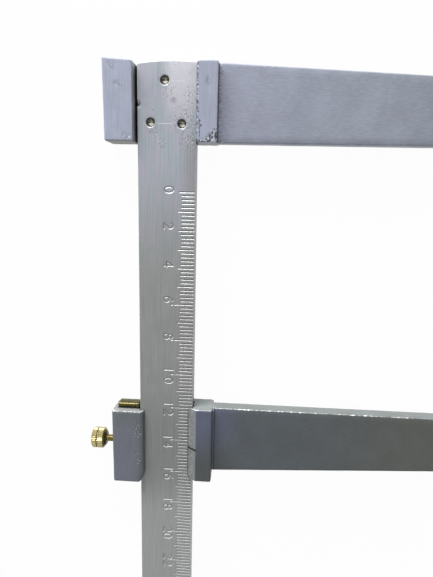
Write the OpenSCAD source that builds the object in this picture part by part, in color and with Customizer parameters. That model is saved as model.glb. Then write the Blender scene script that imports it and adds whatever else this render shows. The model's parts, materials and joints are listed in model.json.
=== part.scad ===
// Tree caliper: a graduated flat beam, a jaw fixed to its head, and a jaw that slides along it.
// The caliper lies on the backs of its jaws, at z = 0, with the scale facing up.
// The origin is on that plane, on the centre line of the beam, at the middle of the fixed jaw.
// The beam runs along Y, towards -Y, and the arms of the jaws reach towards +X.

/* [Measuring] */
// Distance between the two measuring faces, as drawn
opening = 144; // [0:1:500]
// Largest diameter that the scale reads
capacity = 500; // [200:10:800]
// Distance from a measuring face to the zero mark or the index line that belongs to it
zero_offset = 24.6; // [20:0.2:30]
// Distance between two marks of the scale
mark_pitch = 2; // [2:1:5]
// Number of marks from one long mark to the next
marks_per_long = 5; // [2:1:10]
// Length of a short mark, from the edge of the beam
mark_len = 7.6; // [4:0.2:12]
// Length of a long mark, from the edge of the beam
long_mark_len = 9; // [5:0.2:14]
// Width of a mark
mark_w = 0.3; // [0.2:0.05:0.6]
// Depth of a mark
mark_depth = 0.25; // [0.1:0.05:0.5]

/* [Beam] */
// Width of the beam
beam_w = 30; // [26:1:45]
// Thickness of the beam
beam_t = 8; // [6:0.5:12]
// Radius of the filed end in the fixed jaw
end_radius = 120; // [60:10:400]
// How far the top of that curve lies beside the centre line
end_shift = 3; // [-6:0.5:6]
// Radius of the small notch in the plain edge, beside the fixed jaw's cheek
notch_r = 2; // [1:0.5:3]
// How far the notch lies below the middle of the fixed jaw
notch_drop = 1; // [-10:1:14]
// Beam that is left beyond the stop screw
beam_tail = 12; // [6:1:40]

/* [Castings] */
// Thickness of a casting behind the beam
web_t = 4.6; // [3:0.2:8]
// Height of a casting above the face of the beam
cheek_rise = 3.4; // [2.5:0.1:6]
// Length of the fixed jaw along the beam
fixed_h = 38.6; // [34:0.2:60]
// Width of the fixed jaw's plain cheek at its wide end
fixed_cheek_w = 15.4; // [10:0.1:20]
// How much the fixed jaw's cheek rises towards its outer side, at the head
fixed_slant = 1; // [0:0.1:3]
// Width of the boss between the beam and the fixed arm
fixed_boss_w = 10.5; // [6:0.5:20]
// Length of the sliding jaw along the beam, on the cheek's side
slider_h = 47.1; // [42:0.1:70]
// How much shorter the sliding jaw is at the foot of its boss
slider_skew = 2.7; // [0:0.1:4]
// Width of the sliding jaw's cheek at its wide end
slider_cheek_w = 13; // [10:0.1:20]
// Width of the boss between the beam and the sliding arm
slider_boss_w = 11.1; // [7:0.1:20]
// Width of the low shoulder between that boss and its arm
shoulder_w = 1.2; // [0.5:0.1:4]
// How far the shoulder stands out from the faces of the arm
shoulder_rise = 1.2; // [0.4:0.1:2]
// Casting draft: how much a cheek narrows from one end to the other
cheek_draft = 0.75; // [0:0.05:2]
// Overlap of the plain lip over the beam
plain_lip = 3; // [1.5:0.5:6]
// Overlap of the bevelled lip over the beam
reading_lip = 2.6; // [1.5:0.1:4]
// Width of the bevel that carries the index line
bevel_w = 5; // [4:0.2:7]
// Thickness left at the thin edge of the bevel
lip_edge_t = 0.2; // [0.1:0.1:0.8]
// Length of the slanted ends at the foot of the lips
lip_foot = 5; // [2:0.5:10]
// How far the plain lip slants back at its foot
lip_slant = 2; // [0.5:0.5:2.5]
// Width of the index line
index_w = 0.5; // [0.3:0.1:1]
// Depth of the index line
index_depth = 0.3; // [0.1:0.1:0.6]
// Distance from the thin edge of the bevel to the start of the index line
index_inset = 0.4; // [0.2:0.1:2]

/* [Arms] */
// Reach of the arms beyond the beam's edge
arm_reach = 250; // [150:5:400]
// Thickness of the arms
arm_t = 8; // [5:0.5:12]
// Height of the sliding arm at its root
slider_arm_h = 39.2; // [30:0.2:42]
// Height of both arms at the tip
arm_tip_h = 26; // [16:0.5:30]
// Radius of the outer corner at the tip
tip_outer_r = 10; // [3:0.5:12]
// Radius of the corner between the tip and the measuring face
tip_inner_r = 2; // [1:0.5:3]

/* [Clamp] */
// Thickness of the brass gib
gib_t = 2.2; // [0.8:0.1:3]
// Width of the gib
gib_w = 6.2; // [5:0.1:7]
// Length of the gib's bent ends beyond its back
gib_tab = 11.9; // [4:0.1:12.4]
// Inner radius of the gib's bends
gib_bend_r = 0.8; // [0.6:0.1:1]
// Outer radius of the gib's corners
gib_corner_r = 1; // [0.4:0.1:1.4]
// How far the clamp screw pushes the gib
gib_travel = 0.35; // [0.1:0.05:0.6]
// Diameter of the clamp screw's thread
clamp_d = 4; // [3:0.5:4.5]
// Diameter of the knurled head
head_d = 11.7; // [9:0.1:15.5]
// Length of the knurled head
head_len = 8.2; // [6:0.1:16]
// Thread that shows between the casting and the head
thread_out = 5.3; // [2:0.1:15]
// How far the clamp screw lies above the middle of the cheek
clamp_rise = 0.8; // [-4:0.1:4]
// Width of the groove round the head
head_groove_w = 0.9; // [0.4:0.1:1.5]
// Depth of that groove
head_groove_depth = 0.9; // [0.3:0.1:1.5]
// Broken edge at the ends of the head
head_edge = 0.5; // [0.2:0.1:1]
// Length of the cone on the side of the head that faces the casting
head_cone = 1.4; // [0.5:0.1:2.5]
// Width of the flat ring round the thread, at the foot of that cone
head_collar = 1.5; // [0.5:0.1:2.5]
// Number of knurls round the head
knurl_count = 32; // [16:1:40]
// Depth of a knurl
knurl_depth = 0.35; // [0.2:0.05:0.6]

/* [Screws] */
// Diameter of the screws' shanks
screw_d = 3; // [2.5:0.5:3.5]
// Diameter of the screws' heads
screw_head_d = 4.3; // [4:0.1:5.5]
// Height of the screws' heads
screw_head_h = 1.9; // [1.4:0.1:2.6]
// Width of the slot in a screw head
driver_slot_w = 0.8; // [0.5:0.1:1.2]
// Depth of the slot in a screw head
driver_slot_depth = 0.9; // [0.5:0.1:1.2]
// Depth of the screw heads below the face of the beam
screw_recess = 1.1; // [0.2:0.1:2]
// Width of the broken edge round a screw's recess
recess_chamfer = 0.4; // [0.1:0.1:0.8]
// Distance between the two screws that lie side by side
screw_pair = 16; // [10:0.5:20]
// Distance from that pair to the third screw, along the beam
screw_rise = 20.4; // [12:0.2:26]
// How far the screws lie beside the beam's centre line
screw_aside = -0.45; // [-2:0.05:2]
// How far the stop screw stands out behind the beam
stop_reach = 3.4; // [2:0.1:4]
// How far the jaw screws end inside the back of the fixed jaw
screw_end_depth = 0.5; // [0.2:0.1:2]

/* [Clearances] */
// Running clearance between the sliding jaw and the beam
run_gap = 0.3; // [0.2:0.05:0.4]
// Gap between the beam's plain edge and the fixed jaw's cheek
fixed_gap = 1.8; // [1:0.1:4]
// Gap between the gib and the cheek behind it, with the clamp loose
gib_back_gap = 0.2; // [0.1:0.05:0.5]
// Gap left between the gib and the beam, with the clamp tight
gib_face_gap = 0.05; // [0.05:0.05:0.3]
// Gap between the gib's bent ends and the ends of the cheek
tab_gap = 0.4; // [0.3:0.1:1]
// Distance of the gib below the plane of the sliding measuring face
face_gap = 0.3; // [0.3:0.1:3]
// Gap between the tip of the clamp screw and the gib
tip_gap = 0.05; // [0.02:0.01:0.2]
// Radial clearance of a threaded shank in its hole
thread_gap = 0.05; // [0.03:0.01:0.1]
// Radial clearance of a screw head in its recess
head_gap = 0.15; // [0.1:0.05:0.4]
// Distance from the slider to the stop screw at full capacity
stop_gap = 1; // [0.5:0.5:5]

/* [Hidden] */

$fn = 64;
// Extra length of a cut beyond the face that it opens
over = 1;
// Points on each rounded corner of an arm
corner_points = 10;

// Levels above the table
beam_z0 = web_t;
beam_z1 = beam_z0 + beam_t;
casting_t = beam_z1 + cheek_rise;
mid_z = casting_t / 2;

// Places across the beam
gib_room = gib_back_gap + gib_t + gib_travel + gib_face_gap;
slot_x0 = -beam_w / 2 - gib_room;
slot_x1 = beam_w / 2 + run_gap;
slot_w = slot_x1 - slot_x0;
fixed_slot_x0 = -beam_w / 2 - fixed_gap;
fixed_cheek_x = fixed_slot_x0 - fixed_cheek_w;
fixed_boss_x = slot_x1 + fixed_boss_w;
slider_cheek_x = slot_x0 - slider_cheek_w;
slider_boss_x = slot_x1 + slider_boss_w;
arm_tip_x = beam_w / 2 + arm_reach;

// Places along the beam
fixed_face_y = -fixed_h / 2;
zero_y = fixed_face_y - zero_offset;
slider_face_y = fixed_face_y - opening;
cheek_drop = face_gap + gib_t + tab_gap;
clamp_y = clamp_rise - (cheek_drop + slider_h) / 2;
beam_head_y = fixed_h / 2;
stop_y = fixed_face_y - capacity - slider_h - stop_gap - screw_d / 2;
beam_foot_y = stop_y - beam_tail;

// The three jaw screws, with the small drift of each hand-drilled hole
screw_drift = [[-0.75, 0.25], [0, 0.55], [0, 0]];
screw_spots = [
    [screw_aside, screw_rise / 2],
    [screw_aside - screw_pair / 2, -screw_rise / 2],
    [screw_aside + screw_pair / 2, -screw_rise / 2],
];

// Points of an arc round a centre, from angle a0 to angle a1
function arc(centre, r, a0, a1) = [
    for (i = [0 : corner_points])
        let (a = a0 + (a1 - a0) * i / corner_points)
            centre + r * [cos(a), sin(a)]
];

// Outline of an arm that starts inside its boss, with its measuring face on y = 0 and the rest above it
function arm_outline(start_x, root_x, root_h) =
    let (
        slope = atan2(root_h - arm_tip_h, arm_tip_x - root_x),
        outer_x = arm_tip_x - tip_outer_r,
        outer_y = arm_tip_h + tip_outer_r * tan(slope) - tip_outer_r / cos(slope),
        inner_x = arm_tip_x - tip_inner_r
    )
    concat(
        [[start_x, 0], [start_x, root_h], [root_x, root_h]],
        arc([outer_x, outer_y], tip_outer_r, 90 - slope, 0),
        arc([inner_x, tip_inner_r], tip_inner_r, 0, -90)
    );

// A plate of one outline at the middle of the castings' thickness
module arm(start_x, root_x, root_h) {
    translate([0, 0, mid_z - arm_t / 2])
        linear_extrude(arm_t)
            polygon(arm_outline(start_x, root_x, root_h));
}

// Recess and hole for a screw from the front of the beam, down to a given level
module screw_hole(bottom_z) {
    recess_r = screw_head_d / 2 + head_gap;
    seat_z = beam_z1 - screw_recess - screw_head_h;
    translate([0, 0, bottom_z])
        cylinder(r = screw_d / 2 + thread_gap, h = beam_z1 - bottom_z);
    translate([0, 0, seat_z])
        cylinder(r = recess_r, h = screw_recess + screw_head_h + over);
    translate([0, 0, beam_z1 - recess_chamfer])
        cylinder(r1 = recess_r, r2 = recess_r + recess_chamfer + over, h = recess_chamfer + over);
}

// Slotted screw with its head seated in the beam and its shank down to a given level
module slotted_screw(bottom_z) {
    seat_z = beam_z1 - screw_recess - screw_head_h;
    slot = [screw_head_d + over, driver_slot_w, driver_slot_depth];
    difference() {
        union() {
            translate([0, 0, bottom_z])
                cylinder(r = screw_d / 2, h = seat_z - bottom_z);
            translate([0, 0, seat_z])
                cylinder(d = screw_head_d, h = screw_head_h);
        }
        translate([-slot.x / 2, -slot.y / 2, seat_z + screw_head_h - slot.z])
            cube([slot.x, slot.y, slot.z + over]);
    }
}

// The outline of the beam, with its filed end
module beam_outline() {
    head_cut = beam_w / 2;
    translate([-beam_w / 2, beam_foot_y])
        square([beam_w, beam_head_y - head_cut - beam_foot_y]);
    intersection() {
        translate([-beam_w / 2, beam_head_y - head_cut])
            square([beam_w, head_cut]);
        translate([end_shift, beam_head_y - end_radius])
            circle(r = end_radius, $fn = 180);
    }
}

// Every mark of the scale, from zero to the full capacity
module scale_marks() {
    for (i = [0 : floor(capacity / mark_pitch)]) {
        len = i % marks_per_long == 0 ? long_mark_len : mark_len;
        translate([beam_w / 2 - len, zero_y - i * mark_pitch - mark_w / 2])
            square([len + over, mark_w]);
    }
}

module beam() {
    color([0.68, 0.70, 0.72])
        difference() {
            translate([0, 0, beam_z0])
                linear_extrude(beam_t)
                    difference() {
                        beam_outline();
                        translate([-beam_w / 2, -notch_drop])
                            circle(r = notch_r);
                    }
            translate([0, 0, beam_z1 - mark_depth])
                linear_extrude(mark_depth + over)
                    scale_marks();
            for (i = [0 : len(screw_spots) - 1])
                translate(screw_spots[i] + screw_drift[i])
                    screw_hole(beam_z0 - over);
            translate([0, stop_y])
                screw_hole(beam_z0 - over);
        }
}

module fixed_jaw() {
    color([0.64, 0.66, 0.74])
        difference() {
            union() {
                linear_extrude(casting_t)
                    polygon([
                        [fixed_slot_x0, fixed_h / 2],
                        [fixed_cheek_x, fixed_h / 2 + fixed_slant],
                        [fixed_cheek_x + cheek_draft, fixed_face_y],
                        [fixed_boss_x, fixed_face_y],
                        [fixed_boss_x, fixed_h / 2],
                    ]);
                translate([0, fixed_face_y])
                    arm(slot_x1 + fixed_boss_w / 2, fixed_boss_x, fixed_h);
            }
            translate([fixed_slot_x0, -fixed_h / 2 - over, beam_z0])
                cube([slot_x1 - fixed_slot_x0, fixed_h + 2 * over, casting_t]);
            for (i = [0 : len(screw_spots) - 1])
                translate(concat(screw_spots[i] + screw_drift[i], -over))
                    cylinder(r = screw_d / 2 + thread_gap, h = web_t + 2 * over);
        }
}

module jaw_screw(i) {
    color([0.55, 0.55, 0.50])
        translate(screw_spots[i] + screw_drift[i])
            slotted_screw(screw_end_depth);
}

module stop_screw() {
    color([0.55, 0.55, 0.50])
        translate([0, stop_y])
            slotted_screw(beam_z0 - stop_reach);
}

// Outline of the sliding casting: the boss starts at the measuring face, the cheek a little below it
module slider_outline() {
    step_x = beam_w / 2 - reading_lip;
    polygon([
        [slider_cheek_x, -cheek_drop],
        [slider_cheek_x + cheek_draft, -slider_h],
        [plain_lip - beam_w / 2, -slider_h],
        [step_x, slider_skew - slider_h],
        [slider_boss_x, slider_skew - slider_h],
        [slider_boss_x, 0],
        [step_x, 0],
        [step_x, -cheek_drop],
    ]);
}

// What is cut away in front of the beam, between and above the lips
module lip_opening() {
    lip_z = beam_z1 + run_gap;
    left_x = plain_lip - beam_w / 2;
    right_x = beam_w / 2 - reading_lip;
    foot_y = -slider_h;
    translate([0, 0, lip_z])
        linear_extrude(casting_t)
            polygon([
                [left_x, over],
                [left_x, foot_y + lip_foot],
                [left_x - lip_slant, foot_y],
                [left_x - lip_slant, foot_y - over],
                [right_x + reading_lip, foot_y - over],
                [right_x + reading_lip, foot_y + slider_skew - over],
                [right_x, foot_y + lip_foot],
                [right_x, over],
            ]);
    translate([0, over, 0])
        rotate([90, 0, 0])
            linear_extrude(slider_h + 2 * over)
                polygon([
                    [right_x - over, lip_z + lip_edge_t],
                    [right_x, lip_z + lip_edge_t],
                    [right_x + bevel_w, casting_t],
                    [right_x + bevel_w, casting_t + over],
                    [right_x - over, casting_t + over],
                ]);
}

// The index line, a groove that follows the bevel
module index_groove() {
    edge_z = beam_z1 + run_gap + lip_edge_t;
    right_x = beam_w / 2 - reading_lip;
    slope = (casting_t - edge_z) / bevel_w;
    translate([0, index_w / 2 - zero_offset, 0])
        rotate([90, 0, 0])
            linear_extrude(index_w)
                polygon([
                    [right_x + index_inset, edge_z + index_inset * slope - index_depth],
                    [right_x + bevel_w, casting_t - index_depth],
                    [right_x + bevel_w, casting_t + over],
                    [right_x + index_inset, casting_t + over],
                ]);
}

// A low block at the root of the sliding arm, a little shorter than the arm is high
module arm_shoulder() {
    block_t = arm_t + 2 * shoulder_rise;
    translate([slider_boss_x - over, over - slider_arm_h, mid_z - block_t / 2])
        cube([shoulder_w + over, slider_arm_h - 2 * over, block_t]);
}

module sliding_jaw() {
    web_z = beam_z0 - run_gap;
    slot_h = beam_t + 2 * run_gap;
    color([0.46, 0.48, 0.54])
        translate([0, slider_face_y, 0])
            difference() {
                union() {
                    linear_extrude(casting_t)
                        slider_outline();
                    mirror([0, 1, 0])
                        arm(slot_x1 + slider_boss_w / 2, slider_boss_x, slider_arm_h);
                    arm_shoulder();
                }
                translate([slot_x0, -slider_h - over, web_z])
                    cube([slot_w, slider_h + 2 * over, slot_h]);
                lip_opening();
                index_groove();
                translate([slider_cheek_x - over, clamp_y, mid_z])
                    rotate([0, 90, 0])
                        cylinder(r = clamp_d / 2 + thread_gap, h = slot_x0 - slider_cheek_x + 2 * over);
            }
}

// A flat rectangle with round corners
module rounded_rect(x0, y0, x1, y1, r) {
    translate([x0 + r, y0])
        square([x1 - x0 - 2 * r, y1 - y0]);
    translate([x0, y0 + r])
        square([x1 - x0, y1 - y0 - 2 * r]);
    for (x = [x0 + r, x1 - r], y = [y0 + r, y1 - r])
        translate([x, y])
            circle(r = r);
}

// The gib: a strip between the cheek and the beam, with both ends bent over the ends of the cheek
module gib() {
    back_x = slot_x0 + gib_back_gap;
    tab_x = back_x - gib_tab;
    top_y = -face_gap;
    foot_y = -slider_h - tab_gap - gib_t;
    color([0.72, 0.63, 0.36])
        translate([0, slider_face_y, beam_z0])
            linear_extrude(gib_w)
                difference() {
                    rounded_rect(tab_x, foot_y, back_x + gib_t, top_y, gib_corner_r);
                    rounded_rect(tab_x - 2 * over, foot_y + gib_t, back_x, top_y - gib_t, gib_bend_r);
                }
}

// Half the section of the knurled head, from its outer face along the screw's axis
module head_section() {
    r = head_d / 2;
    groove_r = r - head_groove_depth;
    groove_at = head_len / 3;
    cone_at = head_len - head_cone;
    polygon([
        [0, 0],
        [r - head_edge, 0],
        [r, head_edge],
        [r, groove_at],
        [groove_r, groove_at],
        [groove_r, groove_at + head_groove_w],
        [r, groove_at + head_groove_w],
        [r, cone_at],
        [clamp_d / 2 + head_collar, head_len],
        [0, head_len],
    ]);
}

module clamp_screw() {
    tip_x = slot_x0 + gib_back_gap - tip_gap;
    head_x = slider_cheek_x - thread_out - head_len;
    knurl = knurl_depth * sqrt(2);
    color([0.76, 0.69, 0.42])
        translate([head_x, slider_face_y + clamp_y, mid_z])
            rotate([0, 90, 0]) {
                difference() {
                    rotate_extrude()
                        head_section();
                    for (i = [0 : knurl_count - 1])
                        rotate(360 * (i + 0.5) / knurl_count)
                            translate([head_d / 2, 0, -over])
                                rotate(45)
                                    translate([-knurl / 2, -knurl / 2])
                                        cube([knurl, knurl, head_len + 2 * over]);
                }
                translate([0, 0, head_len / 2])
                    cylinder(d = clamp_d, h = tip_x - head_x - head_len / 2);
            }
}

beam();
fixed_jaw();
jaw_screw(0);  // jaw_screw_upper
jaw_screw(1);  // jaw_screw_left
jaw_screw(2);  // jaw_screw_right
sliding_jaw();
gib();
clamp_screw();
stop_screw();
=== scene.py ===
# %% [markdown]
# A tree caliper measures the thickness of a trunk. A flat aluminium beam carries an engraved scale.
# One jaw is screwed to its head, and the other slides along it and is locked by a brass thumb screw.
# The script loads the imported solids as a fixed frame, dresses each piece with a worked-out surface
# and a procedural finish, and keeps every piece where the frame has it.

# %% Load the frame
import json

import bmesh
import bpy
import numpy as np
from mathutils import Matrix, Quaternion, Vector
from mathutils.geometry import delaunay_2d_cdt

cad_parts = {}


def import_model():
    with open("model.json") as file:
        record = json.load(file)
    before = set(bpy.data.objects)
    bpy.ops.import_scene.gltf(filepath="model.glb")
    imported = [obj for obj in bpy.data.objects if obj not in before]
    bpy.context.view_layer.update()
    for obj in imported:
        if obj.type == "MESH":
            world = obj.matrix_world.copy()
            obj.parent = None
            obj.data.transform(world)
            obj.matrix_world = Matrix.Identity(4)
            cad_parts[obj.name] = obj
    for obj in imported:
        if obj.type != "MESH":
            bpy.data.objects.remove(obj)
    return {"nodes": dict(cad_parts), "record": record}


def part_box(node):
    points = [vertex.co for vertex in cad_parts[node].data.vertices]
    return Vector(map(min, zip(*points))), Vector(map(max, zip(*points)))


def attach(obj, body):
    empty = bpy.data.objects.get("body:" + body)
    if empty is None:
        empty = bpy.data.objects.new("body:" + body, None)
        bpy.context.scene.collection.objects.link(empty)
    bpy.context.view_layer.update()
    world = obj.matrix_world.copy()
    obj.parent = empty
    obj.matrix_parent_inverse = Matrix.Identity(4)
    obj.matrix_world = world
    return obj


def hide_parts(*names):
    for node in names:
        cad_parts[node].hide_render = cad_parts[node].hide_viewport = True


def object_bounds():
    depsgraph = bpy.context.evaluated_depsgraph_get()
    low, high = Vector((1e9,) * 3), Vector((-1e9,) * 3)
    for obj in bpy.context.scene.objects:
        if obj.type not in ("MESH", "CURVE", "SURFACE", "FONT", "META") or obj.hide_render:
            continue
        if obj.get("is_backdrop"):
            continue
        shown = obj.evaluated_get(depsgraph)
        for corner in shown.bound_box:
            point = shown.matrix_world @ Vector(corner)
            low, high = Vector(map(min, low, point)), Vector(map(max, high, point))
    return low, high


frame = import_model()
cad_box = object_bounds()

MM = 0.001
NODE_BODY = {node: body for body, nodes in frame["record"]["behaviour"]["bodies"].items() for node in nodes}


def box_mm(node):
    """Lowest and highest corner of a CAD node, in millimetres."""
    low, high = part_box(node)
    return np.array(low) / MM, np.array(high) / MM


BEAM_LOW, BEAM_HIGH = box_mm("beam")
FIXED_LOW, FIXED_HIGH = box_mm("fixed_jaw")
SLIDER_LOW, SLIDER_HIGH = box_mm("sliding_jaw")
GIB_LOW, GIB_HIGH = box_mm("gib")
CLAMP_LOW, CLAMP_HIGH = box_mm("clamp_screw")
print("beam from", BEAM_LOW.round(2), "to", BEAM_HIGH.round(2))

# %% [markdown]
# The camera comes first, because every later choice is judged through it. It could be placed by eye,
# but the engraved scale is a ruler: fitting a pinhole camera to the marks gives its place and its tilt.
# It hangs a quarter of a metre above the scale, close enough to show the jaws' upper and side faces.

# %% Camera
CAMERA_PLACE = Vector((0.04115, -0.04775, 0.24918))
CAMERA_TURN = Vector((-0.1924, 0.0615, 0.0291))
FOCAL_PIXELS = 450
PHOTO_HEIGHT = 577
SENSOR = 36.0

camera_data = bpy.data.cameras.new("camera")
camera_data.sensor_width = SENSOR
camera_data.lens = SENSOR * FOCAL_PIXELS / PHOTO_HEIGHT
camera_data.clip_start = 0.01
camera_data.clip_end = 20
camera = bpy.data.objects.new("camera", camera_data)
camera.location = CAMERA_PLACE
camera.rotation_mode = "QUATERNION"
camera.rotation_quaternion = Quaternion(CAMERA_TURN.normalized(), CAMERA_TURN.length)
bpy.context.collection.objects.link(camera)
bpy.context.scene.camera = camera
print("camera lens", round(camera_data.lens, 2), "mm")

# %% [markdown]
# Every casting and bar here is an outline with rounded corners, carried along a path. A corner becomes
# an arc by a formula that holds for outer and inner corners alike, and each point keeps its outward
# normal, so that the edges can be rounded later by moving points inwards along it.

# %% Outlines
ARC_STEPS = 4
FINE_STEP = 0.5
SECOND_STEP = 2.4
WEAR_REACH = 0.8


def corner_arcs(corners, radii):
    """Arcs of the given radii in the corners of an anticlockwise outline.

    The arc touches both sides at r / tan(a / 2) from the corner, where a is the angle between them.
    Its centre lies on the bisector. The spoke from the centre turns evenly from one side's foot to
    the other's. Returns the points and the outward normals of each corner's arc.
    """
    corners = np.asarray(corners, float)
    before = np.roll(corners, 1, axis=0)
    after = np.roll(corners, -1, axis=0)
    back = (before - corners) / np.linalg.norm(before - corners, axis=1, keepdims=True)
    ahead = (after - corners) / np.linalg.norm(after - corners, axis=1, keepdims=True)
    bend = np.where(np.cross(-back, ahead) >= 0, 1.0, -1.0)
    half = np.arccos(np.clip((back * ahead).sum(1), -1, 1)) / 2
    swing = np.maximum(np.pi - 2 * half, 1e-9)[:, None, None]
    first = np.stack([-back[:, 1], back[:, 0]], 1)
    last = np.stack([ahead[:, 1], -ahead[:, 0]], 1)
    share = np.linspace(0, 1, ARC_STEPS + 1)[None, :, None]
    leaving = first[:, None] * np.sin((1 - share) * swing)
    arriving = last[:, None] * np.sin(share * swing)
    normals = (leaving + arriving) / np.sin(swing)
    reach = np.asarray(radii, float) / np.maximum(np.tan(half), 1e-9)
    start = corners + back * reach[:, None]
    centre = start - first * (bend * radii)[:, None]
    points = centre[:, None] + normals * (bend * radii)[:, None, None]
    return points, normals


def graded(length, far):
    """Distances along a straight run: close together at both ends, and about far apart between them."""
    if length < 4 * FINE_STEP:
        return np.linspace(0, length, 3)[1:-1]
    near = np.array([FINE_STEP, SECOND_STEP * FINE_STEP])
    near = near[near < length / 3]
    count = max(2, int(round((length - 2 * near[-1]) / far)) + 1)
    middle = np.linspace(near[-1], length - near[-1], count)
    return np.concatenate([near[:-1], middle, length - near[:-1][::-1]])


def rounded_outline(corners, radii, far=2.2, worn=0.0):
    """Points, outward normals, local corner radius and wear of a closed outline.

    Wear is worn at a corner and fades as exp(-(s / reach)^2) with the distance s along each side.
    """
    radii = np.asarray(radii, float)
    worn = np.broadcast_to(np.asarray(worn, float), radii.shape)
    points, normals = corner_arcs(corners, radii)
    arc = np.ones(ARC_STEPS + 1)
    rows = []
    for i in range(len(corners)):
        j = (i + 1) % len(corners)
        rows.append(np.column_stack([points[i], normals[i], radii[i] * arc, worn[i] * arc]))
        run = points[j, 0] - points[i, -1]
        length = np.linalg.norm(run)
        along = graded(length, far)[:, None]
        share = along / length
        wear = worn[i] * np.exp(-(along / WEAR_REACH) ** 2)
        wear += worn[j] * np.exp(-((length - along) / WEAR_REACH) ** 2)
        facing = np.repeat(normals[i, -1:], len(along), 0)
        radius = radii[i] + share * (radii[j] - radii[i])
        rows.append(np.column_stack([points[i, -1] + share * run, facing, radius, wear]))
    table = np.concatenate(rows)
    return table[:, :2], table[:, 2:4], table[:, 4], table[:, 5]


square = [(0, 0), (9, 0), (9, 9), (0, 9)]
print("a square's outline has", len(rounded_outline(square, [1, 1, 1, 1])[0]), "points")

# %% [markdown]
# A flat face between rings is filled by a Delaunay mesh. Constrained edges keep the rings, and loose
# points inside carry values that fade away from the edge. Everything is welded into one closed mesh,
# and each mesh keeps a value per point that says how near to a worn edge it lies. The same value also
# carries painted highlights and painted shade, which the finishes turn into bright or dark colour.

# %% Mesh helpers
WELD = 1e-6
SAME_POINT = 1e-5
WARP = 0.2
WARP_SHIFT = 0.05
NET_ROW = 0.87
WAVES = 8


def ring_faces(rows, count):
    """Four-sided faces between neighbouring rows of points, each row a ring of count points."""
    i, j = np.meshgrid(np.arange(rows - 1), np.arange(count), indexing="ij")
    k = (j + 1) % count
    quads = np.stack([i * count + j, i * count + k, (i + 1) * count + k, (i + 1) * count + j], -1)
    return quads.reshape(-1, 4)


def ring_edges(count, offset=0):
    """The closed loop of edges round one ring."""
    i = np.arange(count)
    return np.stack([i, (i + 1) % count], 1) + offset


def inside(points, ring):
    """True where a point lies inside a ring: a ray towards +x crosses it an odd number of times."""
    x, y = points[:, 0, None], points[:, 1, None]
    x0, y0 = ring[:, 0], ring[:, 1]
    x1, y1 = np.roll(x0, -1), np.roll(y0, -1)
    spans = (y0 > y) != (y1 > y)
    at = x0 + (y - y0) * (x1 - x0) / np.where(y1 == y0, 1e-12, y1 - y0)
    return (spans & (x < at)).sum(1) % 2 == 1


def distance_to(points, starts, ends):
    """Least distance from each point to a set of straight stretches."""
    run = ends - starts
    length = np.maximum((run ** 2).sum(1), 1e-12)
    rel = points[:, None] - starts
    share = np.clip((rel * run).sum(2) / length, 0, 1)
    return np.linalg.norm(rel - share[..., None] * run, axis=2).min(1)


def fill(points, edges, outer, holes=()):
    """Triangles between the points that fill the outer ring around its holes, anticlockwise.

    While the triangles are made, a barrel warp, p (1 - k |p|^2), bends every straight run a little,
    because points in one line would leave slivers along the rim.
    """
    middle = outer.mean(0) + WARP_SHIFT * np.ptp(outer, axis=0)
    bend = WARP / ((outer - middle) ** 2).sum(1).max()

    def warp(flat):
        rel = flat - middle
        return rel * (1 - bend * (rel ** 2).sum(1, keepdims=True))

    flat = [Vector(point) for point in warp(points)]
    made, _, faces, source, *_ = delaunay_2d_cdt(flat, edges.tolist(), [], 0, SAME_POINT)
    bent = np.array([tuple(p) for p in made])
    faces = np.array(faces)
    centre = bent[faces].mean(1)
    keep = inside(centre, warp(outer))
    for hole in holes:
        keep &= ~inside(centre, warp(hole))
    faces = faces[keep]
    a, b, c = bent[faces[:, 0]], bent[faces[:, 1]], bent[faces[:, 2]]
    flip = np.cross(b - a, c - a) < 0
    faces[flip] = faces[flip][:, ::-1]
    return np.array([rows[0] for rows in source])[faces]


def loose_points(outer, step, margin):
    """A staggered net of points inside a ring, no nearer to it than margin."""
    low, high = outer.min(0), outer.max(0)
    columns = np.arange(low[0], high[0], step)
    rows = np.arange(low[1], high[1], step * NET_ROW)
    x, y = np.meshgrid(columns, rows, indexing="ij")
    x = x + step / 2 * (np.arange(len(rows)) % 2)
    net = np.stack([x.ravel(), y.ravel()], 1)
    net = net[inside(net, outer)]
    return net[distance_to(net, outer, np.roll(outer, -1, axis=0)) > margin]


def wobble(points, size, seed):
    """Smooth wandering value between about -1 and 1.

    It is the sum of eight plane waves, sin(k . p + phase), over 4. Their directions, lengths and phases
    come from the seed.
    """
    rng = np.random.default_rng(seed)
    heading = rng.normal(size=(WAVES, 3))
    heading /= np.linalg.norm(heading, axis=1, keepdims=True)
    pace = 2 * np.pi / (size * rng.uniform(0.7, 1.6, WAVES))
    phase = rng.uniform(0, 2 * np.pi, WAVES)
    return np.sin(points @ (heading * pace[:, None]).T + phase).sum(1) / 4


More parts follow.
